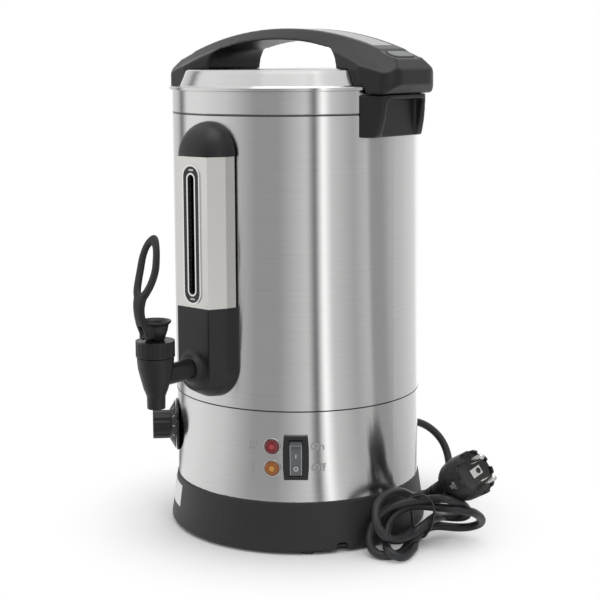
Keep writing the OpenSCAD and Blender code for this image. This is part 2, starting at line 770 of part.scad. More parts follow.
module column_housing() {
  boss_l = 6;
  front = column_y + housing_proud;
  color("#2d2e30") difference() {
    union() {
      column_end(housing_proud, z_foot, -1);
      column_prism(housing_proud, z_foot, z_cover);
      column_prism(-sheet_t - seat_gap, z_cover, z_cap);
      translate([-column_w / 2 - housing_proud, -column_back_y, z_cover])
        cube([column_w + 2 * housing_proud, 9, cover_h]);
      translate([0, 0, z_pipe]) rotate([90, 0, 0]) translate([0, 0, front - 2])
        cylinder(r1 = neck_r + 5, r2 = neck_r + 1.6, h = boss_l + 2);
    }
    shell_space();
    translate([-tee_space, -(column_y - housing_wall), z_pipe])
      cube([2 * tee_space, column_out, z_cover - z_pipe + cut]);
    translate([-tee_space, -(tube_y + tee_reach + 0.2), z_pipe - tee_space])
      cube([2 * tee_space, column_out, tee_space + cut]);
    translate([-channel_half, -(column_y + 4), z_cover])
      cube([2 * channel_half, column_out + 8, cover_h + cut]);
    translate([0, 0, z_pipe]) {
      out_rod(shank_r + seat_gap, body_r, front + cut);
      out_rod(neck_r + seat_gap, front, front + boss_l + cut);
    }
  }
}

module column_cap() {
  color("#2d2e30") difference() {
    column_end(housing_proud, z_cap, 1);
    shell_space();
    translate([0, -tube_y, z_cap - cut]) cylinder(r = tube_r + 1.8, h = 9);
  }
}

// folded steel cover with the window cut in its front
module column_cover() {
  color("#cfcdc9") difference() {
    column_prism(0, z_cover, z_cap);
    column_prism(-sheet_t, z_cover - cut, z_cap + cut);
    translate([-column_w, -column_back_y - seat_gap, z_cover - cut])
      cube([2 * column_w, column_out + 20, cover_h + 2 * cut]);
    translate([0, -(column_y - 3), z_window])
      pill(window_w - 2 * window_ring_w + 0.2, window_h - 2 * window_ring_w + 0.2, 6);
  }
}

module gauge_ring() {
  color("#e2e3e4") translate([0, -column_y, z_window])
    pill_ring(window_w, window_h, window_ring_w, ring_t);
}

// black insert in the window, clamped behind the cover, with the slot for the sight tube
module gauge_insert() {
  w = window_w - 2 * window_ring_w;
  h = window_h - 2 * window_ring_w;
  color("#191a1b") translate([0, -(column_y - sheet_t), z_window]) difference() {
    union() {
      pill(w, h, sheet_t + 0.5);
      translate([0, insert_t, 0]) pill(w + 5, h + 5, insert_t);
    }
    translate([0, insert_t + cut, 0]) pill(slot_w, slot_h, insert_t + sheet_t + 3);
  }
}

module slot_ring() {
  color("#d9dadb") translate([0, -(column_y + 0.5), z_window])
    pill_ring(slot_w + 3, slot_h + 3, 1.3, 0.5);
}

module sight_tube() {
  color([0.85, 0.9, 0.92, 0.5]) translate([0, -tube_y, z_tube])
    ring(tube_r, tube_r - 1, z_cap + 5 - z_tube);
}

module sight_seals() {
  color("#b8b0a4") {
    translate([0, -tube_y, z_tube + 9]) ring(tube_r + 1.8, tube_r, 7);
    translate([0, -tube_y, z_cap + 0.5]) ring(tube_r + 1.8, tube_r, 5);
  }
}

// tee on the tap's shank that feeds the sight tube
module gauge_tee() {
  color("#c9a24a") difference() {
    union() {
      translate([0, 0, z_pipe]) out_rod(tee_r, body_r + sleeve_out, tube_y + tee_reach);
      translate([0, -tube_y, z_pipe]) cylinder(r = tube_r + 3, h = z_tube + 16.5 - z_pipe);
    }
    translate([0, 0, z_pipe]) out_rod(shank_r + play, body_r, column_y);
    translate([0, -tube_y, z_tube + 9]) cylinder(r = tube_r + 1.8, h = 9);
    translate([0, -tube_y, z_tube]) cylinder(r = tube_r + seat_gap, h = 10);
    translate([0, -tube_y, z_pipe + shank_r - 1]) cylinder(r = tube_r - 1, h = z_tube - z_pipe);
  }
}

module outlet_seals() {
  color("#b8b0a4") translate([0, 0, z_pipe]) {
    difference() {
      out_rod(outlet_sleeve_r, tank_in, body_r + sleeve_out);
      out_rod(shank_r + play, tank_in - cut, body_r + 7);
      translate([0, 0, -20]) cylinder(r = tank_r, h = 40);
    }
    difference() {
      intersection() {
        out_rod(11, tank_in - 3, tank_in + 2);
        translate([0, 0, -20]) cylinder(r = tank_in, h = 40);
      }
      out_rod(shank_r + play, tank_in - 4, tank_in + 3);
    }
  }
}

module outlet_nut() {
  color("#c0c1c3") translate([0, 0, z_pipe]) difference() {
    translate([0, -(tank_in - 8), 0]) rotate([90, 0, 0]) cylinder(r = 12, h = 5, $fn = 6);
    out_rod(shank_r + play, tank_in - 10, tank_in);
  }
}

// ---------------------------------------------------------------- tap
module tap_body() {
  z_wide = z_pipe + 14;
  front = column_y + housing_proud;
  color("#2b2c2e") difference() {
    union() {
      translate([0, -tap_y, 0]) rotate_extrude() polygon([
        [0, z_spout], [spout_r, z_spout], [spout_r + 0.2, z_spout + 10], [spout_r + 2.6, z_spout + 16],
        [tap_r - 2.3, z_pipe + 0.5], [tap_r - 0.7, z_pipe + 7], [tap_r, z_wide], [tap_r, z_tap_top],
        [tap_r - 2.3, z_tap_top], [tap_r - 2.3, z_bonnet - bonnet_t - 1], [0, z_bonnet - bonnet_t - 1]]);
      translate([0, 0, z_pipe]) {
        out_rod(neck_r, front + 0.05, tap_y - 4);
        out_rod(shank_r, tank_in - 10, front + 1);
      }
    }
    translate([0, -tap_y, z_spout - cut]) cylinder(r = spout_r - 2, h = z_chamber - z_spout + 2 * cut);
    translate([0, -tap_y, z_chamber]) cylinder(r = chamber_r, h = z_bonnet - z_chamber);
    translate([0, 0, z_pipe + 1]) out_rod(shank_bore, tank_in - 12, tap_y - chamber_r + 1.5);
  }
}

module tap_collar() {
  ribs = 24;
  bore = tap_r - 2.3 + seat_gap;
  color("#2b2c2e") translate([0, -tap_y, z_collar]) difference() {
    cylinder(r = collar_r, h = tap_collar_h);
    translate([0, 0, -cut]) cylinder(r = bore, h = tap_collar_h - bonnet_t + cut);
    translate([0, 0, -cut]) cylinder(r = stem_r + play + 0.03, h = tap_collar_h + 2 * cut);
    for (k = [0:ribs - 1]) rotate([0, 0, 360 * (k + 0.5) / ribs]) translate([collar_r + 0.5, 0, 2])
      cylinder(r = 1, h = tap_collar_h - 3.5, $fn = 16);
  }
}

module tap_stem() {
  color("#c3c4c6") translate([0, -tap_y, 0]) difference() {
    union() {
      translate([0, 0, z_chamber + 2]) cylinder(r = stem_r, h = z_pin - z_chamber - 4);
      translate([0, 0, z_stem_collar]) cylinder(r = chamber_r - 3.5, h = stem_collar_t);
      translate([0, 0, z_pin]) rotate([0, 90, 0]) cylinder(r = 3.3, h = 4.4, center = true);
    }
    translate([0, 0, z_pin]) rotate([0, 90, 0]) cylinder(r = pin_r + play, h = 10, center = true);
  }
}

module tap_seat() {
  tip = spout_r - 2 - 0.5;
  color("#d0c8ba") translate([0, -tap_y, 0]) difference() {
    rotate_extrude() polygon([
      [0, z_chamber - 3], [tip - 1, z_chamber - 3], [tip, z_chamber + body_gap],
      [chamber_r - 2.5, z_chamber + body_gap], [chamber_r - 2.5, z_chamber + 3.5],
      [stem_r + 2, z_stem_collar], [0, z_stem_collar]]);
    translate([0, 0, z_chamber + 2]) cylinder(r = stem_r, h = 10);
  }
}

module tap_spring() {
  low = z_stem_collar + stem_collar_t + spring_wire_r + 0.02;
  high = z_bonnet - bonnet_t - spring_wire_r - 0.02;
  steps = 10 * spring_turns;
  color("#9a9ca0") translate([0, -tap_y, 0])
    sweep([for (i = [0:steps]) let (a = 360 * spring_turns * i / steps)
      [spring_r * cos(a), spring_r * sin(a), low + (high - low) * i / steps]], spring_wire_r, 6);
}

// side view of the lever's strap from its foot to its top, as distance before the tap's axis and height,
// from shares of the lever's height
function lever_line() = [for (p = [[0.115, 0.06], [0.169, 0.181], [0.196, 0.265], [0.198, 0.361],
  [0.169, 0.458], [0.115, 0.566], [0.072, 0.675], [0.055, 0.795], [0.031, 0.904], [-0.01, 0.976]])
  [p[0] * lever_h, z_bonnet + p[1] * lever_h]];

module tap_lever() {
  line = spline([for (p = lever_line()) [-p[0], p[1]]], 3);
  n = len(line) - 1;
  normals = [for (i = [0:n]) let (d = unit(line[min(i + 1, n)] - line[max(i - 1, 0)])) [-d[1], d[0]]];
  strap = concat([for (i = [0:n]) line[i] + normals[i] * strap_t / 2],
    [for (i = [n:-1:0]) line[i] - normals[i] * strap_t / 2]);
  loop_z = z_bonnet + lever_h * 0.685;
  loop_h = lever_h * 0.315;
  hole_h = lever_h * 0.205;
  z_foot_face = z_bonnet + body_gap;
  color("#2b2c2e") translate([0, -tap_y, 0]) {
    intersection() {
      rotate([90, 0, 90]) linear_extrude(loop_w + 2, center = true) polygon(strap);
      rotate([90, 0, 0]) linear_extrude(60, center = true) difference() {
        union() {
          polygon([for (k = [0:31]) let (a = 360 * k / 32)
            [loop_w / 2 * cos(a), loop_z + loop_h * sin(a)]]);
          polygon([[-6, z_bonnet + 3], [6, z_bonnet + 3], [4.6, z_bonnet + 22], [6.5, loop_z - loop_h + 9],
            [-6.5, loop_z - loop_h + 9], [-4.6, z_bonnet + 22]]);
        }
        polygon([for (k = [0:23]) let (a = 360 * k / 24)
          [loop_w * 0.21 * cos(a), loop_z - 2 + hole_h * sin(a)]]);
      }
    }
    difference() {
      union() {
        rotate_extrude() polygon([[0, z_foot_face], [cam_w, z_foot_face], [8.2, z_bonnet + 3],
          [10.3, z_bonnet + 9], [10.8, z_bonnet + 12.5], [13, z_bonnet + 14.5], [13, z_bonnet + 16],
          [0, z_bonnet + 16]]);
        translate([-6, -11.8, z_bonnet + 2.5]) cube([12, 6, 13]);
      }
      translate([0, 0, z_bonnet + 3]) rotate_extrude() polygon([[0, 0], [5.6, 0], [7.6, 7], [9, 11],
        [12, 13], [12, 14], [0, 14]]);
      translate([-3.2, -6.9, z_bonnet - cut]) cube([6.4, 10.3, 5]);
      translate([0, 0, z_pin]) rotate([0, 90, 0]) cylinder(r = pin_r, h = 30, center = true);
    }
  }
}

module lever_pin() {
  color("silver") translate([0, -tap_y, z_pin]) rotate([0, 90, 0])
    cylinder(r = pin_r, h = 17, center = true);
}

// ---------------------------------------------------------------- side handles
// plan of a bracket or block at the +X side: wide at the body, narrower and rounded at its tip
function block_plan(w, tip_x, tip_w, corner) = let (turn = atan2((w - tip_w) / 2, tip_x - body_r + 8))
  concat([[60, -w / 2], [body_r - 8, -w / 2]],
    arc(tip_x - corner, -tip_w / 2 + corner * 0.25, corner, -90 + turn, 0, 6),
    arc(tip_x - corner, tip_w / 2 - corner * 0.25, corner, 0, 90 - turn, 6),
    [[body_r - 8, w / 2], [60, w / 2]]);

module bracket() {
  difference() {
    intersection() {
      rotate([90, 0, 0]) linear_extrude(bracket_w + 10, center = true) polygon([
        [body_r - 20, z_bracket], [rib_foot_x, z_bracket], [rib_foot_x + 1.6, z_bracket + 3],
        [rib_mid_x - 1.8, z_bracket + 9], [rib_mid_x, z_bracket + 16], [rib_mid_x + 1.2, z_shelf - 9],
        [rib_top_x, z_shelf - shelf_t], [body_r + bracket_out, z_shelf - shelf_t + 1],
        [body_r + bracket_out, z_shelf], [body_r - 20, z_shelf]]);
      translate([0, 0, z_bracket - cut]) linear_extrude(bracket_h + 2 * cut)
        polygon(block_plan(bracket_w, body_r + bracket_out, block_tip_w + 2, bracket_corner_r));
    }
    shell_space();
    translate([body_r + bracket_t, -recess_w / 2, z_bracket - cut])
      cube([40, recess_w, bracket_h - shelf_t + cut]);
    for (t = [-1, 1]) rotate([0, 0, 90]) facing(t * handle_screw_angle, 0, z_handle_screw)
      out_rod(handle_screw_r - 0.2, body_r - 4, body_r + bracket_t - 0.8);
  }
}

module side_handle_right() {
  color("#2a2b2d") bracket();
}

module side_handle_left() {
  color("#2a2b2d") rotate([0, 0, 180]) bracket();
}

module handle_screws() {
  head_r = 3.4;
  color("silver") for (s = [-1, 1], t = [-1, 1])
    facing(s * 90 + t * handle_screw_angle, 0, z_handle_screw) {
      out_rod(head_r, shell_in - 2.1, shell_in - 0.1);
      out_rod(handle_screw_r - 0.2, shell_in - 1, body_r + bracket_t - 1);
    }
}

// ---------------------------------------------------------------- lid
// outside of the lid from its axis to the lip
function lid_outline() = [[0, z_lid], [lid_top_r - 1.2, z_lid], [lid_top_r + 0.4, z_lid - 0.8],
  [lid_top_r + 1.4, z_lid - 3], [lid_wall_r, z_rim + 1.8], [lid_wall_r + 0.9, z_rim + lid_t],
  [lip_r - 0.5, z_rim + lid_t], [lip_r, z_rim + lid_t - 0.5]];

module lid_disc() {
  color("#c9caca") difference() {
    rotate_extrude() polygon(concat(lid_outline(), [
      [lip_r, z_rim - lip_drop], [lip_r - 0.7, z_rim - lip_drop], [lip_r - 0.7, z_rim],
      [lid_wall_r, z_rim], [lid_wall_r, z_rim - skirt_drop], [lid_wall_r - lid_t, z_rim - skirt_drop],
      [lid_wall_r - lid_t, z_rim + 1.6], [lid_top_r + 0.2, z_lid - 3.2], [lid_top_r - 1.4, z_lid - lid_t],
      [0, z_lid - lid_t]]));
    lid_screw_places() translate([0, 0, z_lid - 5]) cylinder(r = lid_screw_r + seat_gap, h = 10);
  }
}

module lid_seal() {
  color("#c9bfae") translate([0, 0, z_rim - 4]) ring(lid_wall_r + seal_w, lid_wall_r, 4);
}

module lid_screw_places() {
  for (s = [-1, 1], t = [-1, 1]) translate([s * (hand_half + 11), t * 12, 0]) children();
}

module lid_screws() {
  color("silver") lid_screw_places() translate([0, 0, z_lid - lid_t - 2]) {
    cylinder(r = 3.6, h = 2);
    cylinder(r = lid_screw_r, h = lid_screw_l);
  }
}

// outline of the arch and its blocks from the front, +X half, then mirrored
function arch_front() = let (
  roof_z = z_arch - arch_t,
  roof_zc = roof_z - opening_r,
  roof_a = asin((hand_half - hand_corner) / opening_r),
  corner_z = z_lid + 3,
  corner_h = roof_zc + opening_r * cos(roof_a) - corner_z,
  corner = [for (i = [0:5]) let (a = 15 * i)
    [hand_half - hand_corner + hand_corner * cos(a), corner_z + corner_h * sin(a)]],
  top_a = asin((block_x - 8) / arch_r),
  top_end = arch_zc + arch_r * cos(top_a))
  concat(
    [[block_x - 8, top_end], [block_x - 10, z_arch + 5], [10 - block_x, z_arch + 5],
     [8 - block_x, top_end], [-block_x, z_block + block_face], [-block_x, z_block + block_bevel],
     [-block_x + block_bevel, z_block], [-hand_half, z_block]],
    [for (q = corner) [-q[0], q[1]]],
    [for (i = [0:8]) let (a = roof_a * (1 - i / 8)) [-opening_r * sin(a), roof_zc + opening_r * cos(a)]],
    [for (i = [1:8]) let (a = roof_a * i / 8) [opening_r * sin(a), roof_zc + opening_r * cos(a)]],
    [for (i = [5:-1:0]) corner[i]], [[hand_half, z_block]],
    [[block_x - block_bevel, z_block], [block_x, z_block + block_bevel], [block_x, z_block + block_face]]);

module handle_plan() {
  tail = [[60, block_w / 2 - 5], [40, arch_w / 2], [-40, arch_w / 2], [-60, block_w / 2 - 5]];
  tip = [for (p = block_plan(block_w, block_x, block_tip_w, block_corner_r)) if (p[0] > 61) p];
  back_tip = [for (p = tip) [-p[0], -p[1]]];
  polygon(concat(tip, tail, back_tip, [for (p = tail) -p]));
}

// cross-section of the arch turned about the centre of its top curve, which gives the long chamfers
module arch_section() {
  deep = 120;
  rotate([90, 0, 0]) rotate_extrude($fn = 180) polygon([
    [arch_r - deep, -block_w / 2], [arch_r - 14, -block_w / 2], [arch_r - 9, -arch_w / 2],
    [arch_r, -arch_top_w / 2], [arch_r, arch_top_w / 2], [arch_r - 9, arch_w / 2],
    [arch_r - 14, block_w / 2], [arch_r - deep, block_w / 2]]);
}

module latch_place(s) {
  rotate([0, 0, s > 0 ? 0 : 180]) translate([0, 0, arch_zc]) rotate([0, latch_slope, 0])
    translate([0, 0, arch_r]) children();
}

module oval(l, w, h) {
  linear_extrude(h, center = true) {
    for (s = [-1, 1]) translate([0, s * (w - l) / 2]) circle(d = l);
    square([l, w - l], center = true);
  }
}

module lid_handle() {
  recess_t = 1.2;
  color("#2c2d2f") difference() {
    intersection() {
      rotate([90, 0, 0]) linear_extrude(block_w + 4, center = true) polygon(arch_front());
      translate([0, 0, z_block - cut]) linear_extrude(z_arch - z_block + 2 * cut) handle_plan();
      translate([0, 0, arch_zc]) arch_section();
    }
    rotate_extrude() polygon(concat(lid_outline(), [[lip_r + handle_clear, z_rim + lid_t],
      [lip_r + handle_clear, z_block - 2], [0, z_block - 2]]));
    lid_screw_places() translate([0, 0, z_lid - 2]) cylinder(r = lid_screw_r, h = lid_screw_l + 0.5);
    translate([0, 0, arch_zc]) rotate([90, 0, 0]) translate([0, 0, -inlay_w / 2]) intersection() {
      ring(arch_r + 3, arch_r - inlay_t, inlay_w);
      translate([-inlay_l / 2, 0, -cut]) cube([inlay_l, arch_r + 10, inlay_w + 2 * cut]);
    }
    for (s = [-1, 1]) latch_place(s) {
      oval(latch_l + 7, latch_w + 16, 2 * recess_t);
      oval(latch_l + 2 * body_gap, latch_w + 2 * body_gap,
        2 * (latch_sink + latch_t + latch_travel + body_gap));
    }
  }
}

module handle_inlay() {
  trim = 0.15;
  color("#b9bbbd") translate([0, 0, arch_zc]) rotate([90, 0, 0])
    translate([0, 0, -inlay_w / 2 + trim]) intersection() {
      ring(arch_r - 0.2, arch_r - inlay_t, inlay_w - 2 * trim);
      translate([-inlay_l / 2 + trim, 0, -cut]) cube([inlay_l - 2 * trim, arch_r + 10, inlay_w]);
    }
}

module latch_button(s) {
  latch_place(s) translate([0, 0, -latch_sink - latch_t / 2]) oval(latch_l, latch_w, latch_t);
}

module latch_button_right() {
  color("#9b9d9f") latch_button(1);
}

module latch_button_left() {
  color("#9b9d9f") latch_button(-1);
}

// ---------------------------------------------------------------- cord and plug
relief_tip = [relief_end * sin(cord_angle), -relief_end * cos(cord_angle), z_cord];
// the cord falls from the gland, by x, y and share of the height, then lies on the table
cord_fall = [[2.7, 10.1, 1], [6.8, 19.1, 0.94], [12.8, 25.6, 0.838], [19.3, 29.1, 0.709],
  [25.3, 29.1, 0.564], [30.3, 26.6, 0.41], [34.3, 22.1, 0.265], [38.3, 15.6, 0.137],
  [43.8, 8.6, 0.034]];
cord_floor = [[-50.5, 118.5], [-43, 111], [-37, 102], [-33.5, 92.5], [-30, 82.5], [-27.5, 72],
  [-24.5, 62], [-22, 51.5], [-20, 41.5], [-18, 31]];
cord_route = concat(
  [for (p = cord_fall) [relief_tip[0] + p[0], relief_tip[1] + p[1], cord_r + p[2] * (z_cord - cord_r)]],
  [for (p = cord_floor) [hank_x + p[0], p[1], cord_r]]);
tie_spots = [[-2.4, -24.3], [6, -14], [9, 2], [8, 18], [2, 23], [-6, 16], [-7, 4]];
tie_wire = 2;
plug_face = [hank_x + 42, 15, 66];
plug_turn = [0, 60, -11];
plug_roll = 15;
plug_r = 18.5;
plug_l = 36;
boot_l = 24;

module power_cord() {
  color("#333538") sweep(spline(concat([relief_tip], cord_route), 3), cord_r, 10);
}

// outer shape of the tied hank: tall loops that lean on the base, low loops beyond the tie
module cord_hank() {
  color("#2f3134") translate([hank_x, 0, 0]) {
    hull() for (p = hank_tall) translate(p) sphere(r = hank_r, $fn = soft_fn / 2);
    hull() for (p = hank_flat) translate(p) sphere(r = hank_r, $fn = soft_fn / 2);
  }
}

module tie_outline(r) {
  hull() for (p = tie_spots) translate(p) circle(r = r, $fn = soft_fn / 2);
}

// wire bound round the strands, across their run
module cord_tie() {
  color("#18191a") translate([hank_x, 2, 24.5]) rotate([117, 0, 0]) rotate([0, 0, -20])
    translate([0, 0, -tie_wire / 2]) linear_extrude(tie_wire) difference() {
      tie_outline(cord_r + 1);
      tie_outline(cord_r + 1 - tie_wire);
    }
}

module plug_place() {
  translate(plug_face) rotate(plug_turn) rotate([0, 0, plug_roll]) children();
}

module plug_body() {
  color("#1e1f20") plug_place() rotate_extrude() polygon([
    [0, 0], [plug_r, 0], [plug_r, -16], [plug_r - 2, -24], [11, -plug_l + 2], [7.5, -plug_l - 2],
    [cord_r + 1, -plug_l - boot_l], [0, -plug_l - boot_l]]);
}

module plug_pins() {
  color("#d8d9da") plug_place() for (s = [-1, 1]) translate([s * 9.5, 0, 0]) {
    cylinder(r = 2.4, h = 18, $fn = soft_fn);
    translate([0, 0, 18]) sphere(r = 2.4, $fn = soft_fn);
  }
}

module earth_clips() {
  color("#d8d9da") plug_place() for (s = [-1, 1]) translate([0, s * (plug_r + 0.4), -9])
    cube([6, 0.8, 18], center = true);
}

base_ring();
bottom_plate();
rubber_feet();
base_screws();
lower_band();
outer_shell();
inner_tank();
heater_plate();
heating_element();
heat_shield();
thermal_cutout();
thermostat_body();
capillary_bulb();
thermostat_screws();
dial_plate();
control_knob();
thermostat_shaft();
terminal_block();
wire_harness();
strain_relief();
switch_housing();
switch_rocker();
lamp_bezels();
lamp_red();
lamp_amber();
column_housing();
column_cap();
column_cover();
gauge_ring();
gauge_insert();
slot_ring();
sight_tube();
sight_seals();
gauge_tee();
outlet_seals();
outlet_nut();
tap_body();
tap_collar();
tap_stem();
tap_seat();
tap_spring();
tap_lever();
lever_pin();
side_handle_left();
side_handle_right();
handle_screws();
lid_disc();
lid_seal();
lid_handle();
handle_inlay();
lid_screws();
latch_button_left();
latch_button_right();
power_cord();
cord_hank();
cord_tie();
plug_body();
plug_pins();
earth_clips();
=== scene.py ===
import json
import math
import bmesh
import bpy
import numpy as np
from mathutils import Matrix, Vector


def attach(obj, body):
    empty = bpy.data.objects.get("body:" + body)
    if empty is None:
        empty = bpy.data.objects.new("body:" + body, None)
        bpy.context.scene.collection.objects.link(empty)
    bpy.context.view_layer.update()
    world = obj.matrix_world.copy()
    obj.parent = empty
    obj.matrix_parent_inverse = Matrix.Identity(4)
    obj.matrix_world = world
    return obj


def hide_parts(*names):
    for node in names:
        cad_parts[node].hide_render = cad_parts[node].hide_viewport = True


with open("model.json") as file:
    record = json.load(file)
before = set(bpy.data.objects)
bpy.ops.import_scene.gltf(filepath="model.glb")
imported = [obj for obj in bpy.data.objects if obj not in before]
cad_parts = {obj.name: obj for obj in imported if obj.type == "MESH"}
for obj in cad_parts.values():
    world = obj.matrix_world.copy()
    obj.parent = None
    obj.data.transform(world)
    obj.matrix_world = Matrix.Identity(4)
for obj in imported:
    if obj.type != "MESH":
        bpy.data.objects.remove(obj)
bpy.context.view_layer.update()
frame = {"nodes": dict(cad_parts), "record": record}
nodes = frame["nodes"]
scene = bpy.context.scene

# angles in radians: yaw from +Y towards -X, pitch downwards, roll about the view axis
cameraView = dict(place=(0.7896, -0.9136, 0.4016), yaw=0.7338, pitch=0.1224, roll=-0.0083,
                  lens=84.52, shiftX=0.055, shiftY=-0.12)


def makeCamera(view):
    yaw, pitch, roll = view["yaw"], view["pitch"], view["roll"]
    forward = Vector((-math.sin(yaw) * math.cos(pitch), math.cos(yaw) * math.cos(pitch), -math.sin(pitch)))
    level = Vector((math.cos(yaw), math.sin(yaw), 0.0))
    upward = level.cross(forward)
    right = level * math.cos(roll) + upward * math.sin(roll)
    top = upward * math.cos(roll) - level * math.sin(roll)
    data = bpy.data.cameras.new("camera")
    data.lens, data.sensor_width = view["lens"], 36.0
    data.shift_x, data.shift_y = view["shiftX"], view["shiftY"]
    data.clip_start, data.clip_end = 0.05, 60.0
    cam = bpy.data.objects.new("camera", data)
    turn = Matrix((right, top, -forward)).transposed().to_4x4()
    cam.matrix_world = Matrix.Translation(Vector(view["place"])) @ turn
    scene.collection.objects.link(cam)
    scene.camera = cam


makeCamera(cameraView)
scene.view_settings.view_transform = "Standard"
print("camera placed")


class Wire:
    # a socket whose arithmetic adds Math nodes to its tree
    def __init__(self, board, socket):
        self.board, self.socket = board, socket

    def math(self, what, other=None, third=None):
        values = {0: self}
        if other is not None:
            values[1] = other
        if third is not None:
            values[2] = third
        return self.board.add("ShaderNodeMath", dict(operation=what), values)

    def __add__(self, other):
        return self.math("ADD", other)

    def __sub__(self, other):
        return self.math("SUBTRACT", other)

    def __mul__(self, other):
        return self.math("MULTIPLY", other)

    def __truediv__(self, other):
        return self.math("DIVIDE", other)

    def __rsub__(self, other):
        return self.board.add("ShaderNodeMath", dict(operation="SUBTRACT"), {0: other, 1: self})

    __radd__ = __add__
    __rmul__ = __mul__


class Board:
    # one node tree, with one method that adds any node
    def __init__(self, tree):
        self.tree = tree
        tree.nodes.clear()

    def add(self, kind, settings, values, out=0):
        node = self.tree.nodes.new(kind)
        for key, value in settings.items():
            if key == "stops":
                ramp = node.color_ramp
                while len(ramp.elements) < len(value):
                    ramp.elements.new(1.0)
                for element, (place, colour) in zip(ramp.elements, value):
                    element.position = place
                    element.color = (*colour, 1.0) if len(colour) == 3 else colour
            elif key == "blend":
                node.color_ramp.interpolation = value
            else:
                setattr(node, key, value)
        for key, value in values.items():
            socket = node.inputs[key]
            if isinstance(value, Wire):
                self.tree.links.new(value.socket, socket)
            else:
                socket.default_value = value
        return Wire(self, node.outputs[out]) if len(node.outputs) else None

    def place(self):
        return self.add("ShaderNodeTexCoord", {}, {}, "Object")

    def apart(self, vector):
        node = self.tree.nodes.new("ShaderNodeSeparateXYZ")
        self.tree.links.new(vector.socket, node.inputs[0])
        return [Wire(self, s) for s in node.outputs]

    def joined(self, x, y, z):
        return self.add("ShaderNodeCombineXYZ", {}, {0: x, 1: y, 2: z})

    def noise(self, vector, scale, detail=3.0, rough=0.5, distort=0.0):
        return self.add("ShaderNodeTexNoise", {}, {"Vector": vector, "Scale": scale, "Detail": detail,
                                                   "Roughness": rough, "Distortion": distort})

    def between(self, value, low, high, toLow=0.0, toHigh=1.0):
        return self.add("ShaderNodeMapRange", dict(interpolation_type="SMOOTHSTEP"),
                        {"Value": value, "From Min": low, "From Max": high, "To Min": toLow, "To Max": toHigh})

    def mix(self, factor, first, second, blend="MIX"):
        return self.add("ShaderNodeMix", dict(data_type="RGBA", blend_type=blend),
                        {0: factor, 6: first, 7: second}, 2)

    def bump(self, height, strength, distance):
        return self.add("ShaderNodeBump", {}, {"Height": height, "Strength": strength, "Distance": distance})


def grey(v):
    return (v, v, v, 1.0)


def rgb(r, g, b):
    return (r, g, b, 1.0)


def finish(name, build, **fixed):
    # material from a function that returns the varying inputs; fixed numbers go straight on the sockets
    mat = bpy.data.materials.new(name)
    mat.use_nodes = True
    board = Board(mat.node_tree)
    values = dict(fixed)
    values.update(build(board))
    shader = board.add("ShaderNodeBsdfPrincipled", {}, values)
    board.add("ShaderNodeOutputMaterial", {}, {0: shader})
    return mat


def brushedSteel(name, tone, roughness, lines, streak, around=True, **fixed):
    # fine lines run round the body: noise on (angle, height) stretched along the angle
    def build(b):
        x, y, z = b.apart(b.place())
        if around:
            angle = b.add("ShaderNodeMath", dict(operation="ARCTAN2"), {0: x, 1: y})
            grain = b.joined(angle * 0.9, z * lines, 0.0)
            coarse = b.joined(angle * 0.35, z * (lines * 0.22), 3.0)
        else:
            grain = b.joined(x * 8.0, z * lines, y * 8.0)
            coarse = b.joined(x * 3.0, z * (lines * 0.22), y * 3.0)
        fine = b.noise(grain, 6.0, 4.0, 0.7)
        broad = b.noise(coarse, 4.0, 3.0, 0.6)
        cloud = b.noise(b.place(), 9.0, 2.0, 0.5)
        level = (fine - 0.5) * (2.0 * streak) + (broad - 0.5) * streak + (cloud - 0.5) * 0.03 + 1.0
        colour = b.mix(1.0, rgb(*tone), b.joined(level, level, level), "MULTIPLY")
        rough = (fine - 0.5) * 0.10 + (cloud - 0.5) * 0.05 + roughness
        height = fine * 0.6 + broad * 0.4
        return {"Base Color": colour, "Roughness": rough, "Normal": b.bump(height, 0.06, 0.0002)}
    return finish(name, build, Metallic=1.0, **fixed)


def mouldedPlastic(name, tone, roughness, grain, depth, patch=0.12, scuff=0.06, **fixed):
    # fine even grain with slow changes of sheen
    def build(b):
        p = b.place()
        fine = b.noise(p, grain, 3.0, 0.6)
        slow = b.noise(p, 22.0, 3.0, 0.55)
        level = (slow - 0.5) * patch + 1.0
        colour = b.mix(1.0, rgb(*tone), b.joined(level, level, level), "MULTIPLY")
        rough = (slow - 0.5) * scuff * 2.0 + (fine - 0.5) * 0.10 + roughness
        return {"Base Color": colour, "Roughness": rough, "Normal": b.bump(fine, depth, 0.0003)}
    return finish(name, build, **fixed)


def plainMetal(name, tone, roughness, grain=180.0, depth=0.05, patch=0.12, **fixed):
    def build(b):
        p = b.place()
        fine = b.noise(p, grain, 3.0, 0.6)
        slow = b.noise(p, 40.0, 3.0, 0.55)
        level = (slow - 0.5) * patch + 1.0
        colour = b.mix(1.0, rgb(*tone), b.joined(level, level, level), "MULTIPLY")
        rough = (slow - 0.5) * 0.12 + (fine - 0.5) * 0.06 + roughness
        return {"Base Color": colour, "Roughness": rough, "Normal": b.bump(fine, depth, 0.0002)}
    return finish(name, build, Metallic=1.0, **fixed)


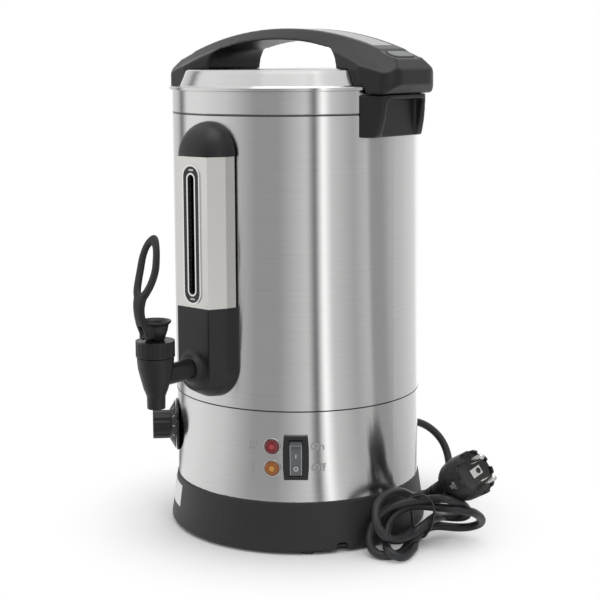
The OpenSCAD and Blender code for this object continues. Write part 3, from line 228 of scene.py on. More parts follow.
materials = {
    "shell_steel": brushedSteel("shellSteel", (0.66, 0.66, 0.655), 0.18, 520.0, 0.09, Anisotropic=0.95,
                                **{"Anisotropic Rotation": 0.25}),
    "cover_steel": brushedSteel("coverSteel", (0.72, 0.705, 0.68), 0.34, 420.0, 0.05, around=False),
    "inner_steel": brushedSteel("innerSteel", (0.58, 0.58, 0.57), 0.34, 300.0, 0.06),
    "black_plastic": mouldedPlastic("blackPlastic", (0.012, 0.0125, 0.0135), 0.36, 900.0, 0.12,
                                    **{"Specular IOR Level": 0.40}),
    "base_plastic": mouldedPlastic("basePlastic", (0.020, 0.0205, 0.022), 0.48, 700.0, 0.22,
                                   **{"Specular IOR Level": 0.40}),
    "gloss_black": mouldedPlastic("glossBlack", (0.010, 0.010, 0.011), 0.22, 500.0, 0.03),
    "rocker_plastic": mouldedPlastic("rockerPlastic", (0.075, 0.080, 0.090), 0.20, 500.0, 0.03),
    "lens_red": mouldedPlastic("lensRed", (0.45, 0.006, 0.012), 0.16, 300.0, 0.03, **{"Coat Weight": 0.6}),
    "lens_amber": mouldedPlastic("lensAmber", (0.60, 0.22, 0.012), 0.16, 300.0, 0.03, **{"Coat Weight": 0.6}),
    "sight_glass": mouldedPlastic("sightGlass", (0.90, 0.93, 0.93), 0.08, 300.0, 0.0,
                                  **{"Transmission Weight": 0.85, "IOR": 1.45}),
    "silicone": mouldedPlastic("silicone", (0.62, 0.58, 0.52), 0.50, 300.0, 0.05),
    "foot_rubber": mouldedPlastic("footRubber", (0.025, 0.025, 0.026), 0.70, 400.0, 0.1),
    "fastener_steel": plainMetal("fastenerSteel", (0.62, 0.62, 0.62), 0.28),
    "bright_trim": plainMetal("brightTrim", (0.82, 0.82, 0.82), 0.16),
    "inlay_silver": plainMetal("inlaySilver", (0.42, 0.425, 0.43), 0.34),
    "latch_grey": mouldedPlastic("latchGrey", (0.13, 0.135, 0.14), 0.36, 500.0, 0.05),
    "cord_jacket": mouldedPlastic("cordJacket", (0.020, 0.021, 0.023), 0.40, 500.0, 0.06,
                                  **{"Specular IOR Level": 0.45}),
    "plug_rubber": mouldedPlastic("plugRubber", (0.013, 0.0135, 0.0145), 0.38, 600.0, 0.10,
                                  **{"Specular IOR Level": 0.45}),
    "pin_metal": plainMetal("pinMetal", (0.78, 0.77, 0.74), 0.20),
    "tie_black": mouldedPlastic("tieBlack", (0.018, 0.018, 0.019), 0.35, 500.0, 0.05),
    "copper": plainMetal("copper", (0.72, 0.36, 0.20), 0.32),
    "brass": plainMetal("brass", (0.66, 0.49, 0.22), 0.30),
    "element_metal": plainMetal("elementMetal", (0.16, 0.15, 0.14), 0.50),
    "ceramic": mouldedPlastic("ceramic", (0.65, 0.62, 0.55), 0.55, 300.0, 0.08),
    "thermo_case": mouldedPlastic("thermoCase", (0.28, 0.28, 0.29), 0.45, 400.0, 0.08),
    "wire_jacket": mouldedPlastic("wireJacket", (0.40, 0.03, 0.02), 0.45, 300.0, 0.05),
}
slotOf = {row["node"]: row["material_slot"] for row in frame["record"]["subparts"]}
for name, obj in nodes.items():
    obj.data.materials.clear()
    obj.data.materials.append(materials[slotOf[name]])
print("finishes made:", len(materials))


def curveMesh(name, points, radius, material):
    # round tube along one open line of points
    data = bpy.data.curves.new(name, "CURVE")
    data.dimensions = "3D"
    data.bevel_depth, data.bevel_resolution, data.use_fill_caps = radius, 4, True
    line = data.splines.new("POLY")
    line.points.add(len(points) - 1)
    line.points.foreach_set("co", np.c_[points, np.ones(len(points))].ravel())
    line.use_smooth = True
    obj = bpy.data.objects.new(name, data)
    data.materials.append(material)
    scene.collection.objects.link(obj)
    return obj


def smoothLine(points, steps):
    # Catmull-Rom line through the points, its ends repeated
    p = np.asarray(points, float)
    q = np.vstack([p[:1], p, p[-1:]])
    t = (np.arange(steps) / steps)[None, :, None]
    a, b, c, d = (q[i:len(q) - 3 + i, None, :] for i in range(4))
    out = 0.5 * (2 * b + (c - a) * t + (2 * a - 5 * b + 4 * c - d) * t ** 2 + (3 * b - a - 3 * c + d) * t ** 3)
    return np.vstack([out.reshape(-1, p.shape[1]), p[-1:]])


def gridMesh(name, rows, material, closedU=True, closedV=False, capStart=False, capEnd=False, sharp=40.0):
    # rows is (n, m, 3): n rows of m points; closedU joins each row's ends, closedV joins the last row to the first
    n, m = rows.shape[:2]
    at = np.arange(n * m).reshape(n, m)
    if closedV:
        at = np.vstack([at, at[:1]])
    nxt = np.roll(at, -1, axis=1) if closedU else at[:, 1:]
    cur = at if closedU else at[:, :-1]
    faces = np.stack([cur[:-1], nxt[:-1], nxt[1:], cur[1:]], axis=-1).reshape(-1, 4).tolist()
    if capStart:
        faces.append(at[0][::-1].tolist())
    if capEnd:
        faces.append(at[-1].tolist())
    mesh = bpy.data.meshes.new(name)
    mesh.from_pydata(rows.reshape(-1, 3).tolist(), [], faces)
    mesh.materials.append(material)
    obj = bpy.data.objects.new(name, mesh)
    scene.collection.objects.link(obj)
    outward(mesh)
    mesh.shade_smooth()
    mesh.set_sharp_from_angle(angle=math.radians(sharp))
    return obj


def block(name, low, high, material):
    # box between two corners: four points below, the same four above
    (x0, y0, z0), (x1, y1, z1) = low, high
    flat = np.array([(x0, y0), (x1, y0), (x1, y1), (x0, y1)])
    rows = np.stack([np.c_[flat, np.full(4, z0)], np.c_[flat, np.full(4, z1)]])
    return gridMesh(name, rows, material, capStart=True, capEnd=True)


def outward(mesh):
    bm = bmesh.new()
    bm.from_mesh(mesh)
    bmesh.ops.remove_doubles(bm, verts=bm.verts, dist=1e-7)
    bmesh.ops.recalc_face_normals(bm, faces=bm.faces)
    bm.to_mesh(mesh)
    bm.free()


def turned(name, profile, material, origin=(0, 0, 0), axis=(0, 0, 1), closed=False, segments=160, sharp=40.0,
           shape=None):
    # profile is (n, 2): distance from the axis and place along it, in metres; shape changes the radius by (angle, row)
    prof = np.asarray(profile, float)
    w = np.asarray(axis, float) / np.linalg.norm(axis)
    u = np.cross(w, (0.0, 0.0, 1.0) if abs(w[2]) < 0.9 else (1.0, 0.0, 0.0))
    u = u / np.linalg.norm(u)
    v = np.cross(w, u)
    angle = np.linspace(0.0, 2 * np.pi, segments, endpoint=False)
    radius = np.repeat(prof[:, :1], segments, axis=1)
    if shape is not None:
        radius = shape(angle[None, :], prof[:, 1:2], radius)
    rows = (np.asarray(origin, float) + radius[..., None] * (np.cos(angle)[None, :, None] * u
            + np.sin(angle)[None, :, None] * v) + prof[:, 1][:, None, None] * w)
    obj = gridMesh(name, rows, material, closedV=closed, capStart=not closed, capEnd=not closed, sharp=sharp)
    place = np.empty(len(obj.data.vertices) * 3)
    obj.data.vertices.foreach_get("co", place)
    place = place.reshape(-1, 3) - np.asarray(origin, float)
    away = np.linalg.norm(place - (place @ w)[:, None] * w, axis=1)
    obj.data.attributes.new("reach", "FLOAT", "POINT").data.foreach_set("value", away * 1000.0)
    return obj


def moulded(obj, voxel, rounds):
    # one closed skin over all of the object, its edges rounded as a mould leaves them
    net = obj.modifiers.new("net", "REMESH")
    net.mode, net.voxel_size = "VOXEL", voxel
    ease = obj.modifiers.new("ease", "SMOOTH")
    ease.factor, ease.iterations = 0.5, rounds
    ready = bpy.data.meshes.new_from_object(obj.evaluated_get(bpy.context.evaluated_depsgraph_get()))
    obj.modifiers.clear()
    obj.data = ready
    ready.shade_smooth()


def softened(node, name, voxel, rounds):
    # the node's own shape with rounded edges
    mesh = nodes[node].data.copy()
    obj = bpy.data.objects.new(name, mesh)
    scene.collection.objects.link(obj)
    outward(mesh)
    moulded(obj, voxel, rounds)
    obj.data.name = name
    obj.data.materials.clear()
    obj.data.materials.append(materials[slotOf[node]])
    settle(obj, frameBody[node], slotOf[node], node)
    return obj


def bevelled(node, name, width, steps=2, limit=35.0):
    # the node's own shape with a small bevel on its hard edges
    mesh = nodes[node].data.copy()
    obj = bpy.data.objects.new(name, mesh)
    scene.collection.objects.link(obj)
    bm = bmesh.new()
    bm.from_mesh(mesh)
    bmesh.ops.remove_doubles(bm, verts=bm.verts, dist=1e-6)
    bmesh.ops.dissolve_limit(bm, angle_limit=math.radians(1.0), verts=bm.verts, edges=bm.edges)
    bm.to_mesh(mesh)
    bm.free()
    edge = obj.modifiers.new("edge", "BEVEL")
    edge.width, edge.segments, edge.limit_method = width, steps, "ANGLE"
    edge.angle_limit, edge.use_clamp_overlap, edge.harden_normals = math.radians(limit), True, False
    mesh.materials.clear()
    mesh.materials.append(materials[slotOf[node]])
    mesh.shade_smooth()
    mesh.set_sharp_from_angle(angle=math.radians(30.0))
    settle(obj, frameBody[node], slotOf[node], node)
    return obj


frameBody = {n: body for body, members in frame["record"]["behaviour"]["bodies"].items() for n in members}


def settle(obj, body, slot, *stands):
    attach(obj, body)
    if stands:
        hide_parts(*stands)


cordLook = dict(diameter=0.007, steps=6, easing=12)
cordPoints = [
    (31.2, 116.4, 62), (33.9, 126.5, 62), (38, 135.5, 58.5), (44, 142, 52.5), (50.5, 145.5, 45),
    (56.5, 145.5, 36.5), (61.5, 143, 27.5), (65.5, 138.5, 19), (69.5, 132, 11.5), (75, 125, 5.5),
    (82.5, 118.5, 3.6), (90, 111, 3.6), (96, 102, 3.6), (99.5, 92.5, 3.6), (103, 82.5, 3.6),
    (105.5, 72, 3.6), (108.5, 62, 3.5), (111, 51.5, 3.5), (113, 41.5, 3.5), (115, 31, 3.5), (117.5, 21, 3.5),
    (122.5, 11.5, 3.6), (126.5, 2, 3.6), (132, -7.5, 3.6), (138, -16, 3.6), (141.5, -26, 3.6),
    (145, -36, 3.6), (144, -46, 5), (135, -48, 9.5), (128.5, -40, 9.5), (122, -32, 10.5), (117, -25, 16.5),
    (116, -17.5, 24), (119.5, -10, 30), (127.5, -4, 33.5), (137.5, -0.5, 34.5), (147.5, 2, 35),
    (158, 2.5, 36), (168.5, 4, 36.5), (174.5, 12, 34.5), (173.5, 21.5, 29.5), (171, 30, 24.5),
    (167.5, 38, 18.5), (160.5, 42.5, 12.5), (151, 41.5, 8.5), (142.5, 35.5, 8), (136, 27, 10),
    (132, 17.5, 11.5), (131, 7.5, 11), (132, -3, 9.5), (132.5, -13.5, 7), (134.5, -23, 4), (137.5, -33, 3.6),
    (135.5, -43.5, 3.8), (127, -49, 3.7), (117.5, -47, 7), (111.5, -41.5, 13.5), (110, -34.5, 21),
    (111, -27, 28), (116, -19, 33.5), (123, -12.5, 36.5), (131.5, -6.5, 39), (141, -2, 41),
    (151, -0.5, 43.5), (161.5, 0, 45), (167, 7.5, 41), (165.5, 16.5, 35.5), (162, 24.5, 30),
    (157.5, 32, 24.5), (151.5, 38.5, 19), (142, 41, 15), (133, 36, 15), (134, 26.5, 18.5), (138.5, 17.5, 22),
    (141.5, 8, 24.5), (141, -2, 22), (136, -8.5, 15.5), (134.5, -18.5, 13), (135.5, -29, 13.5),
    (135, -39.5, 15), (129.5, -46.5, 20), (123, -46.5, 28), (118, -41.5, 35.5), (115, -33, 41.5),
    (114.5, -23, 44.5), (115.5, -12.5, 45), (116.3, -2.5, 42.7), (116.5, 5, 38.5),
    (114, 12, 35), (115, 21, 33.5), (123.3, 25.2, 36.3)
]


def makeCord(pieces):
    # smooth line through the points, its sharp turns eased by averaging each place with its neighbours
    route = smoothLine(np.array(cordPoints) / 1000.0, cordLook["steps"])
    for turn in range(cordLook["easing"]):
        route[1:-1] = (route[:-2] + 2 * route[1:-1] + route[2:]) / 4
    obj = curveMesh("mains_cord", route, cordLook["diameter"] / 2, materials["cord_jacket"])
    settle(obj, "urn", "cord_jacket", "power_cord", "cord_hank")


# two-pin earthed plug: face centre, roll of the pins, sizes in metres
plugLook = dict(face=(0.175, 0.015, 0.066), turn=(0.0, 60.0, -11.0), roll=15.0, radius=0.0185,
                pinGap=0.0095, pinRadius=0.0024, pinLong=0.0186)


def plugTurn(look):
    ax, ay, az = (math.radians(v) for v in look["turn"])
    return (Matrix.Rotation(az, 4, "Z") @ Matrix.Rotation(ay, 4, "Y") @ Matrix.Rotation(ax, 4, "X")
            @ Matrix.Rotation(math.radians(look["roll"]), 4, "Z"))


def makePlug(look):
    turn = plugTurn(look)
    across, beside, out = (np.array(turn.col[i][:3]) for i in range(3))
    face = np.array(look["face"])
    mm = 0.001
    # profile from the middle of the face, over the rim, down the shell and along the ribbed boot
    boot = np.linspace(-37.5, -59.5, 89)
    taper = 7.4 - 2.7 * (boot + 37.5) / -22.0
    ribs = 0.75 * (0.5 + 0.5 * np.tanh(6.0 * np.sin(2 * np.pi * (boot + 37.5) / 3.6)))
    shell = [(0.2, -0.9), (15.2, -0.9), (15.8, -0.3), (16.4, 0.0), (17.4, 0.0), (18.2, -0.4), (18.5, -1.2),
             (18.5, -4.0), (18.5, -8.0), (18.5, -12.5), (18.45, -15.5), (18.0, -17.5), (17.4, -19.0), (17.2, -20.0),
             (17.0, -23.0), (16.2, -26.0), (14.6, -29.0), (12.4, -31.5), (10.2, -33.5), (8.8, -35.2), (8.0, -36.6)]
    prof = np.vstack([np.array(shell), np.c_[taper - ribs, boot], [(4.5, -60.0), (3.4, -60.0)]]) * mm

    body = turned("plug_shell", prof, materials["plug_rubber"], face, out, segments=216, sharp=50.0)
    settle(body, "urn", "plug_rubber", "plug_body")
    pins = []
    for side in (-1, 1):
        root = face + across * side * look["pinGap"]
        r, top = look["pinRadius"], look["pinLong"]
        bend = np.linspace(0.0, 1.0, 7)
        tip = np.c_[r * np.sqrt(1 - bend ** 2 * 0.96), top - r * 0.8 + r * 0.8 * bend]
        pins.append(turned(f"pin_{side}", np.vstack([[(r, -0.0012)], tip]), materials["pin_metal"], root, out,
                           segments=32))
    pinPiece = joined("plug_pin_tips", pins)
    settle(pinPiece, "urn", "pin_metal", "plug_pins")
    # toothed rim: its top rises and falls by tanh of cos(10 a)
    a = np.linspace(0.0, 2 * np.pi, 400, endpoint=False)
    high = 0.0015 + 0.0015 * np.tanh(5.0 * (np.cos(10 * a) + 0.1))
    radius = np.array([0.0166, 0.0166, 0.0170, 0.0181, 0.0185, 0.0185])
    rise = np.stack([0 * a - 0.0015, high - 0.0003, high, high, high - 0.0003, 0 * a - 0.0015])
    ray = np.cos(a)[:, None] * across + np.sin(a)[:, None] * beside
    rim = gridMesh("plug_rim", face + radius[:, None, None] * ray + rise[..., None] * out, materials["plug_rubber"],
                   closedV=True, sharp=50.0)
    settle(rim, "urn", "plug_rubber")
    # bright earth plate between the pins, with its dark hole
    flat = np.array([(-0.0035, -0.003), (0.0035, -0.003), (0.0035, 0.009), (-0.0035, 0.009)])
    low = face + flat[:, :1] * across + flat[:, 1:] * beside
    plate = gridMesh("earth_plate", np.stack([low - 0.0012 * out, low - 0.0005 * out]), materials["pin_metal"],
                     capStart=True, capEnd=True)
    settle(plate, "urn", "pin_metal")
    hole = turned("earth_hole", [(0.0001, -0.0010), (0.0024, -0.0010), (0.0024, -0.00040), (0.0001, -0.00040)],
                  materials["gloss_black"], face + beside * 0.0055, out, segments=36)
    settle(hole, "urn", "gloss_black")
    # small T-shaped clip on each flat side
    bars = [(-0.0034, 0.0034, -0.0085, -0.0055), (-0.0018, 0.0018, -0.0120, -0.0085)]
    clips = []
    for side in (-1, 1):
        for left, right, low, high in bars:
            ends = np.array([(left, low), (right, low), (right, high), (left, high)])
            foot = face + ends[:, :1] * across + ends[:, 1:] * out
            clips.append(gridMesh("clip", np.stack([foot + side * d * beside for d in (0.0175, 0.0195)]),
                                  materials["pin_metal"], capStart=True, capEnd=True))
    clipPiece = joined("side_clips", clips)
    settle(clipPiece, "urn", "pin_metal", "earth_clips")
    return [body, pinPiece, rim, plate, hole, clipPiece]


def joined(name, parts):
    # one mesh from several of the same finish
    bm = bmesh.new()
    for part in parts:
        bm.from_mesh(part.data)
    mesh = bpy.data.meshes.new(name)
    bm.to_mesh(mesh)
    bm.free()
    mesh.materials.append(parts[0].data.materials[0])
    for part in parts:
        bpy.data.objects.remove(part)
    obj = bpy.data.objects.new(name, mesh)
    scene.collection.objects.link(obj)
    return obj


# wire bound round the hank, seen from its front and closed behind the strands
tieLook = dict(radius=0.0011, points=[
    (136, -8, 44), (142, -10, 46.5), (148, -11, 46.5), (151, -9, 42), (152, -8, 36), (149, -5, 27), (144, -1, 18),
    (137, 4, 11), (130, 9.5, 4.5), (123.5, 13.5, 1.6), (118.5, 12.5, 3.5), (119.5, 8, 12), (122, 3, 22),
    (125, -3, 33), (129.5, -6.5, 41)])


def makeTie(look):
    ring = np.array(look["points"]) / 1000.0
    line = smoothLine(np.vstack([ring[-2:], ring, ring[:3]]), 8)[16:16 + 8 * len(ring)]
    wire = curveMesh("cord_wire_tie", line, look["radius"], materials["tie_black"])
    wire.data.splines[0].use_cyclic_u = True
    settle(wire, "urn", "tie_black", "cord_tie")
    return wire


makeCord(makePlug(plugLook) + [makeTie(tieLook)])
print("cord and plug made")

softened("lid_handle", "lid_arch", 0.0012, 9)
softened("side_handle_left", "grip_left", 0.0010, 6)
softened("side_handle_right", "grip_right", 0.0010, 6)
softened("tap_body", "tap_barrel", 0.0006, 5)
softened("control_knob", "dial_knob", 0.0005, 3)
softened("base_ring", "base_skirt", 0.0012, 3)
softened("strain_relief", "cord_gland", 0.0005, 3)
bevelled("tap_collar", "collar_ribbed", 0.0004)
bevelled("switch_housing", "switch_frame", 0.0003)
bevelled("latch_button_left", "latch_left_cap", 0.0005)
bevelled("latch_button_right", "latch_right_cap", 0.0005)


# foot of the column: a U in front view, inset as it comes forward, with a trumpet where the tap leaves it
columnLook = dict(half=0.0261, centre=0.1506, top=0.20094, tap=0.1515, voxel=0.0007, rounds=8,
                  steps=[(0.0980, 0.0), (0.1040, 0.0), (0.1136, 0.0015), (0.1200, 0.0045), (0.1276, 0.0085)])


def makeColumn(look):
    # U outline inset by d: straight sides at half - d, a half round of radius half - d below
    a = np.linspace(np.pi, 2 * np.pi, 61)
    rise = np.linspace(look["centre"], look["top"], 22)[1:]
    deep, inset = np.array(look["steps"]).T
    wide = (look["half"] - inset)[:, None]
    one = np.ones((len(inset), 1))
    x = np.hstack([-wide * np.ones(21), wide * np.cos(a), wide * np.ones(21)])
    z = np.hstack([one * rise[::-1], look["centre"] + wide * np.sin(a), one * rise])
    foot = gridMesh("foot", np.stack([x, -deep[:, None] * np.ones_like(x), z], -1), materials["black_plastic"],
                    capStart=True, capEnd=True)
    boss = turned("boss", [(0.0170, 0.1200), (0.0172, 0.1266), (0.0150, 0.1278), (0.0128, 0.1290), (0.0114, 0.1306),
                           (0.0105, 0.1324), (0.0102, 0.1338)], materials["black_plastic"],
                  (0, 0, look["tap"]), (0, -1, 0), segments=96)
    plate = block("plate", (-0.024, -0.1072, 0.198), (0.024, -0.1045, 0.3235), materials["black_plastic"])
    raw = joined("column_foot", [foot, boss, plate])
    moulded(raw, look["voxel"], look["rounds"])
    settle(raw, "urn", "black_plastic", "column_housing")


makeColumn(columnLook)

# cap of the gauge column: a quarter of an egg that leans on the shell
capLook = dict(foot=0.322, top=0.3494, halfWide=0.0261, front=0.1276, back=0.1035, power=2.5)


def makeCap(look):
    # rows climb from the foot; each is a rounded outline that shrinks as the height nears the top
    t = np.sin(np.linspace(0.0, np.pi / 2, 30)) * 0.999
    shrink = np.sqrt(1.0 - t ** 2)
    a = np.linspace(0.0, 2 * np.pi, 120, endpoint=False)
    power = look["power"]
    cx = np.sign(np.cos(a)) * np.abs(np.cos(a)) ** (2 / power)
    cy = np.abs(np.sin(a)) ** (2 / power) * (np.sin(a) > 0)
    deep = look["front"] - look["back"]
    tall = look["top"] - look["foot"]
    wide = look["halfWide"] * shrink[:, None] ** 0.92
    x = wide * cx[None, :]
    y = -(look["back"] + deep * shrink[:, None] * cy[None, :])
    z = np.repeat(look["foot"] + tall * t[:, None], len(a), axis=1)
    obj = gridMesh("cap_dome", np.stack([x, y, z], -1), materials["black_plastic"], capStart=True, capEnd=True,
                   sharp=60.0)
    settle(obj, "urn", "black_plastic", "column_cap")


makeCap(capLook)

# lever: a flat loop bent in an S, its neck and the cup that turns on the stem's pin; places from the tap's axis
leverLook = dict(tap=0.1695, bonnet=0.181, high=0.083, thick=0.005, loopWide=0.0115, holeWide=0.0050,
                 loopMiddle=0.685, loopHalf=0.313, holeHalf=0.215, neck=0.0052, voxel=0.0005, rounds=10)


def makeLever(look):
    high = look["high"]
    bend = smoothLine([(0.100, 0.00), (0.115, 0.06), (0.165, 0.165), (0.194, 0.265), (0.197, 0.361), (0.168, 0.458),
                       (0.118, 0.566), (0.078, 0.675), (0.052, 0.795), (0.022, 0.904), (-0.020, 1.0),
                       (-0.045, 1.04)], 8)

    def at(x, share, off):
        # point of the strap: x across, share of the height, off along the strap's own normal
        y = np.interp(share, bend[:, 1], bend[:, 0])
        slope = np.interp(share, bend[:, 1], np.gradient(bend[:, 0], bend[:, 1]))
        long = np.sqrt(1 + slope ** 2)
        return np.stack([x, -(look["tap"] + y * high + off / long),
                         look["bonnet"] + share * high - off * slope / long], -1)

    u = np.linspace(0, 2 * np.pi, 96, endpoint=False)[:, None]
    v = np.linspace(0, 2 * np.pi, 20, endpoint=False)[None, :]
    midWide, halfWide = (look["loopWide"] + look["holeWide"]) / 2, (look["loopWide"] - look["holeWide"]) / 2
    midHigh, halfHigh = (look["loopHalf"] + look["holeHalf"]) / 2, (look["loopHalf"] - look["holeHalf"]) / 2
    flat = np.sign(np.cos(v)) * np.abs(np.cos(v)) ** 0.75
    deep = np.sign(np.sin(v)) * np.abs(np.sin(v)) ** 0.75
    thin = look["thick"] / 2 * (0.86 + 0.14 * np.cos(u - np.pi / 2 + np.pi))
    loop = gridMesh("loop", at((midWide + halfWide * flat) * np.cos(u),
                               look["loopMiddle"] + (midHigh + halfHigh * flat) * np.sin(u),
                               thin * deep), materials["black_plastic"], closedV=True)
    low = np.linspace(0.02, 0.2, 20)[:, None] + 0 * v
    prongs = [gridMesh("prong", at(side * 0.0031 + 0.0017 * flat + 0 * low, low, look["thick"] / 2 * deep + 0 * low),
                       materials["black_plastic"], capStart=True, capEnd=True) for side in (-1, 1)]
    climb = np.linspace(0.17, 0.42, 30)[:, None]
    wide = (look["neck"] + 0.0022 * np.exp(-((climb - 0.02) / 0.09) ** 2)
            + 0.0012 * np.exp(-((climb - 0.44) / 0.1) ** 2))
    neck = gridMesh("neck", at(wide * flat, climb + 0 * v, look["thick"] / 2 * 1.05 * deep),
                    materials["black_plastic"], capStart=True, capEnd=True)
    mm = 0.001
    cupLine = np.array([(3.2, 0.3), (7.5, 0.3), (8.2, 3.0), (9.3, 6.0), (10.2, 9.0), (10.7, 12.3), (12.8, 14.3),
                        (13.1, 15.2), (12.9, 15.9), (12.2, 16.0), (11.0, 15.2), (9.2, 13.8), (7.6, 10.0),
                        (5.8, 3.6), (3.2, 3.2)]) * mm
    cup = turned("cup", cupLine, materials["black_plastic"], (0, -look["tap"], look["bonnet"]), closed=True,
                 segments=96)
    pivot = np.array([0.0, -look["tap"], look["bonnet"]])
    web = block("web", pivot + (-0.0058, -0.0118, 0.0025), pivot + (0.0058, -0.0062, 0.0125),
                materials["black_plastic"])
    raw = joined("lever_loop", [loop, neck, cup, web, *prongs])
    moulded(raw, look["voxel"], look["rounds"])
    settle(raw, "tap_lever", "black_plastic", "tap_lever")


makeLever(leverLook)
print("moulded pieces made")


def facing(angle, out, z):
    # frame of a piece on the body: across, out and up, at a place out from the axis
    t = math.radians(angle)
    outward = np.array([math.sin(t), -math.cos(t), 0.0])
    across = np.array([math.cos(t), math.sin(t), 0.0])
    return outward * out + np.array([0.0, 0.0, z]), across, outward


def lensFinish(name, dark, bright, painted_highlight):
    # moulded rings inside a clear lens, darker towards the rim, with a paler middle painted on as a highlight
    def build(b):
        reach = b.add("ShaderNodeAttribute", dict(attribute_name="reach"), {}, "Fac")
        ring = (reach * 3.6).math("SINE") * 0.5 + 0.5
        cells = b.noise(b.place(), 700.0, 2.0, 0.5)
        body = b.mix(ring * 0.6 + (cells - 0.5) * 0.6, rgb(*dark), rgb(*bright))
        # the paler middle is a painted highlight
        middle = b.between(reach, 1.2, 3.0, 1.0, 0.0)
        rim = b.between(reach, 5.0, 6.0)
        colour = b.mix(rim, b.mix(middle * 0.55, body, rgb(*painted_highlight)), rgb(*dark))
        return {"Base Color": colour, "Roughness": (cells - 0.5) * 0.1 + 0.14,
                "Normal": b.bump(ring, 0.25, 0.0003)}
    return finish(name, build, **{"Coat Weight": 0.7})


lampLook = dict(angle=29.5, z=0.0795, pitch=0.018, face=0.1046)
# the third colour of each lens is its painted highlight
materials["lens_red"] = lensFinish("lensRedRings", (0.07, 0.002, 0.005), (0.36, 0.005, 0.016), (0.62, 0.07, 0.09))
materials["lens_amber"] = lensFinish("lensAmberRings", (0.17, 0.045, 0.003), (0.54, 0.17, 0.010), (0.80, 0.42, 0.09))


def makeLamps(look):
    mm = 0.001
    for side, node, key in ((1, "lamp_red", "lens_red"), (-1, "lamp_amber", "lens_amber")):
        place, across, out = facing(look["angle"], look["face"], look["z"] + side * look["pitch"] / 2)
        lens = [(6.15, 0.2), (6.15, 1.7), (5.8, 2.05), (5.2, 2.35), (4.2, 2.7), (2.8, 3.0), (1.2, 3.12), (0.15, 3.15)]
        piece = turned(node + "_lens", np.array(lens) * mm, materials[key], place, out, segments=72)
        settle(piece, "urn", key, node)
        ring = [(6.2, 0.05), (6.2, 1.3), (6.4, 1.5), (6.8, 1.4), (7.0, 1.0), (7.0, 0.05)]
        rim = turned(node + "_rim", np.array(ring) * mm, materials["bright_trim"], place, out, closed=True,
                     segments=72)
        settle(rim, "urn", "bright_trim", *(["lamp_bezels"] if side == 1 else []))


makeLamps(lampLook)


def rockerFinish():
    # smoky plastic, darker towards its top end, with a thin pale rectangle painted on as a highlight along its edges,
    # at the distance dx or dz from its sides
    def build(b):
        x, y, z = b.apart(b.place())
        beside = x * math.cos(math.radians(40.0)) + y * math.sin(math.radians(40.0))
        dx = beside.math("ABSOLUTE") - 0.0045
        dz = (z - 0.078).math("ABSOLUTE") - 0.0128
        # thin pale line: a painted highlight along the rocker's edges
        line = b.between(dx.math("MAXIMUM", dz).math("ABSOLUTE"), 0.00022, 0.00042, 1.0, 0.0)
        cloudy = b.noise(b.place(), 120.0, 2.0, 0.5)
        smoke = b.mix(cloudy, rgb(0.075, 0.080, 0.088), rgb(0.12, 0.125, 0.135))
        ends = b.between(z, 0.084, 0.092)
        colour = b.mix(line * 0.75, b.mix(ends * 0.7, smoke, rgb(0.020, 0.021, 0.024)), rgb(0.36, 0.37, 0.38))
        return {"Base Color": colour, "Roughness": cloudy * 0.1 + 0.16}
    return finish("rockerSmoke", build, **{"Coat Weight": 0.4})


rockerLook = dict(angle=40.0, pivot=0.1026, z=0.0795, tilt=9.0, ridge=0.004, on=0.0024, off=-0.0082)


def makeRocker(look):
    # two faces that meet at a ridge; the one below stands out at rest
    bevelled("switch_rocker", "rocker_cap", 0.0004)
    place, across, out = facing(look["angle"], look["pivot"], look["z"])
    up = np.array([0.0, 0.0, 1.0])
    for name, side in (("mark_on", 1), ("mark_off", -1)):
        rest = math.radians(look["tilt"])
        # the face's plane in the tilted rocker: out at the ridge, rising by tan(tilt) away from it
        far = look["on"] if side > 0 else look["off"]
        local = np.array([look["ridge"] + abs(far) * math.tan(rest) + 0.00002, far])
        turn = np.array([[math.cos(rest), math.sin(rest)], [-math.sin(rest), math.cos(rest)]])
        o, h = turn @ local
        slope = turn @ np.array([math.tan(rest) * side, 1.0])
        slope = slope / np.linalg.norm(slope)
        along = out * slope[0] + up * slope[1]
        normal = np.cross(along, across)
        normal = normal * (1 if normal @ out > 0 else -1)
        spot = place + out * o + up * h
        if side > 0:
            bar = np.array([(-0.0004, -0.0018), (0.0004, -0.0018), (0.0004, 0.0018), (-0.0004, 0.0018)])
            low = spot + bar[:, :1] * across + bar[:, 1:] * along
            mark = gridMesh(name, np.stack([low - normal * 0.0001, low + normal * 0.00006]), materials["mark_pale"],
                            capStart=True, capEnd=True)
        else:
            mark = turned(name, [(0.0012, -0.0001), (0.0012, 0.00006), (0.0019, 0.00006), (0.0019, -0.0001)],
                          materials["mark_pale"], spot, normal, closed=True, segments=40)
        settle(mark, "switch_rocker", "rocker_plastic")


materials["mark_pale"] = mouldedPlastic("markPale", (0.55, 0.56, 0.57), 0.45, 300.0, 0.02)
materials["etched"] = mouldedPlastic("etchedMark", (0.34, 0.34, 0.335), 0.50, 300.0, 0.02)
materials["rocker_plastic"] = rockerFinish()
makeRocker(rockerLook)


# flared skirt of the control knob and its plain marks
skirtLook = dict(angle=-43.0, z=0.0831, foot=0.1066, inner=13.2, outer=20.8, high=5.0, marks=11, sweep=135.0)


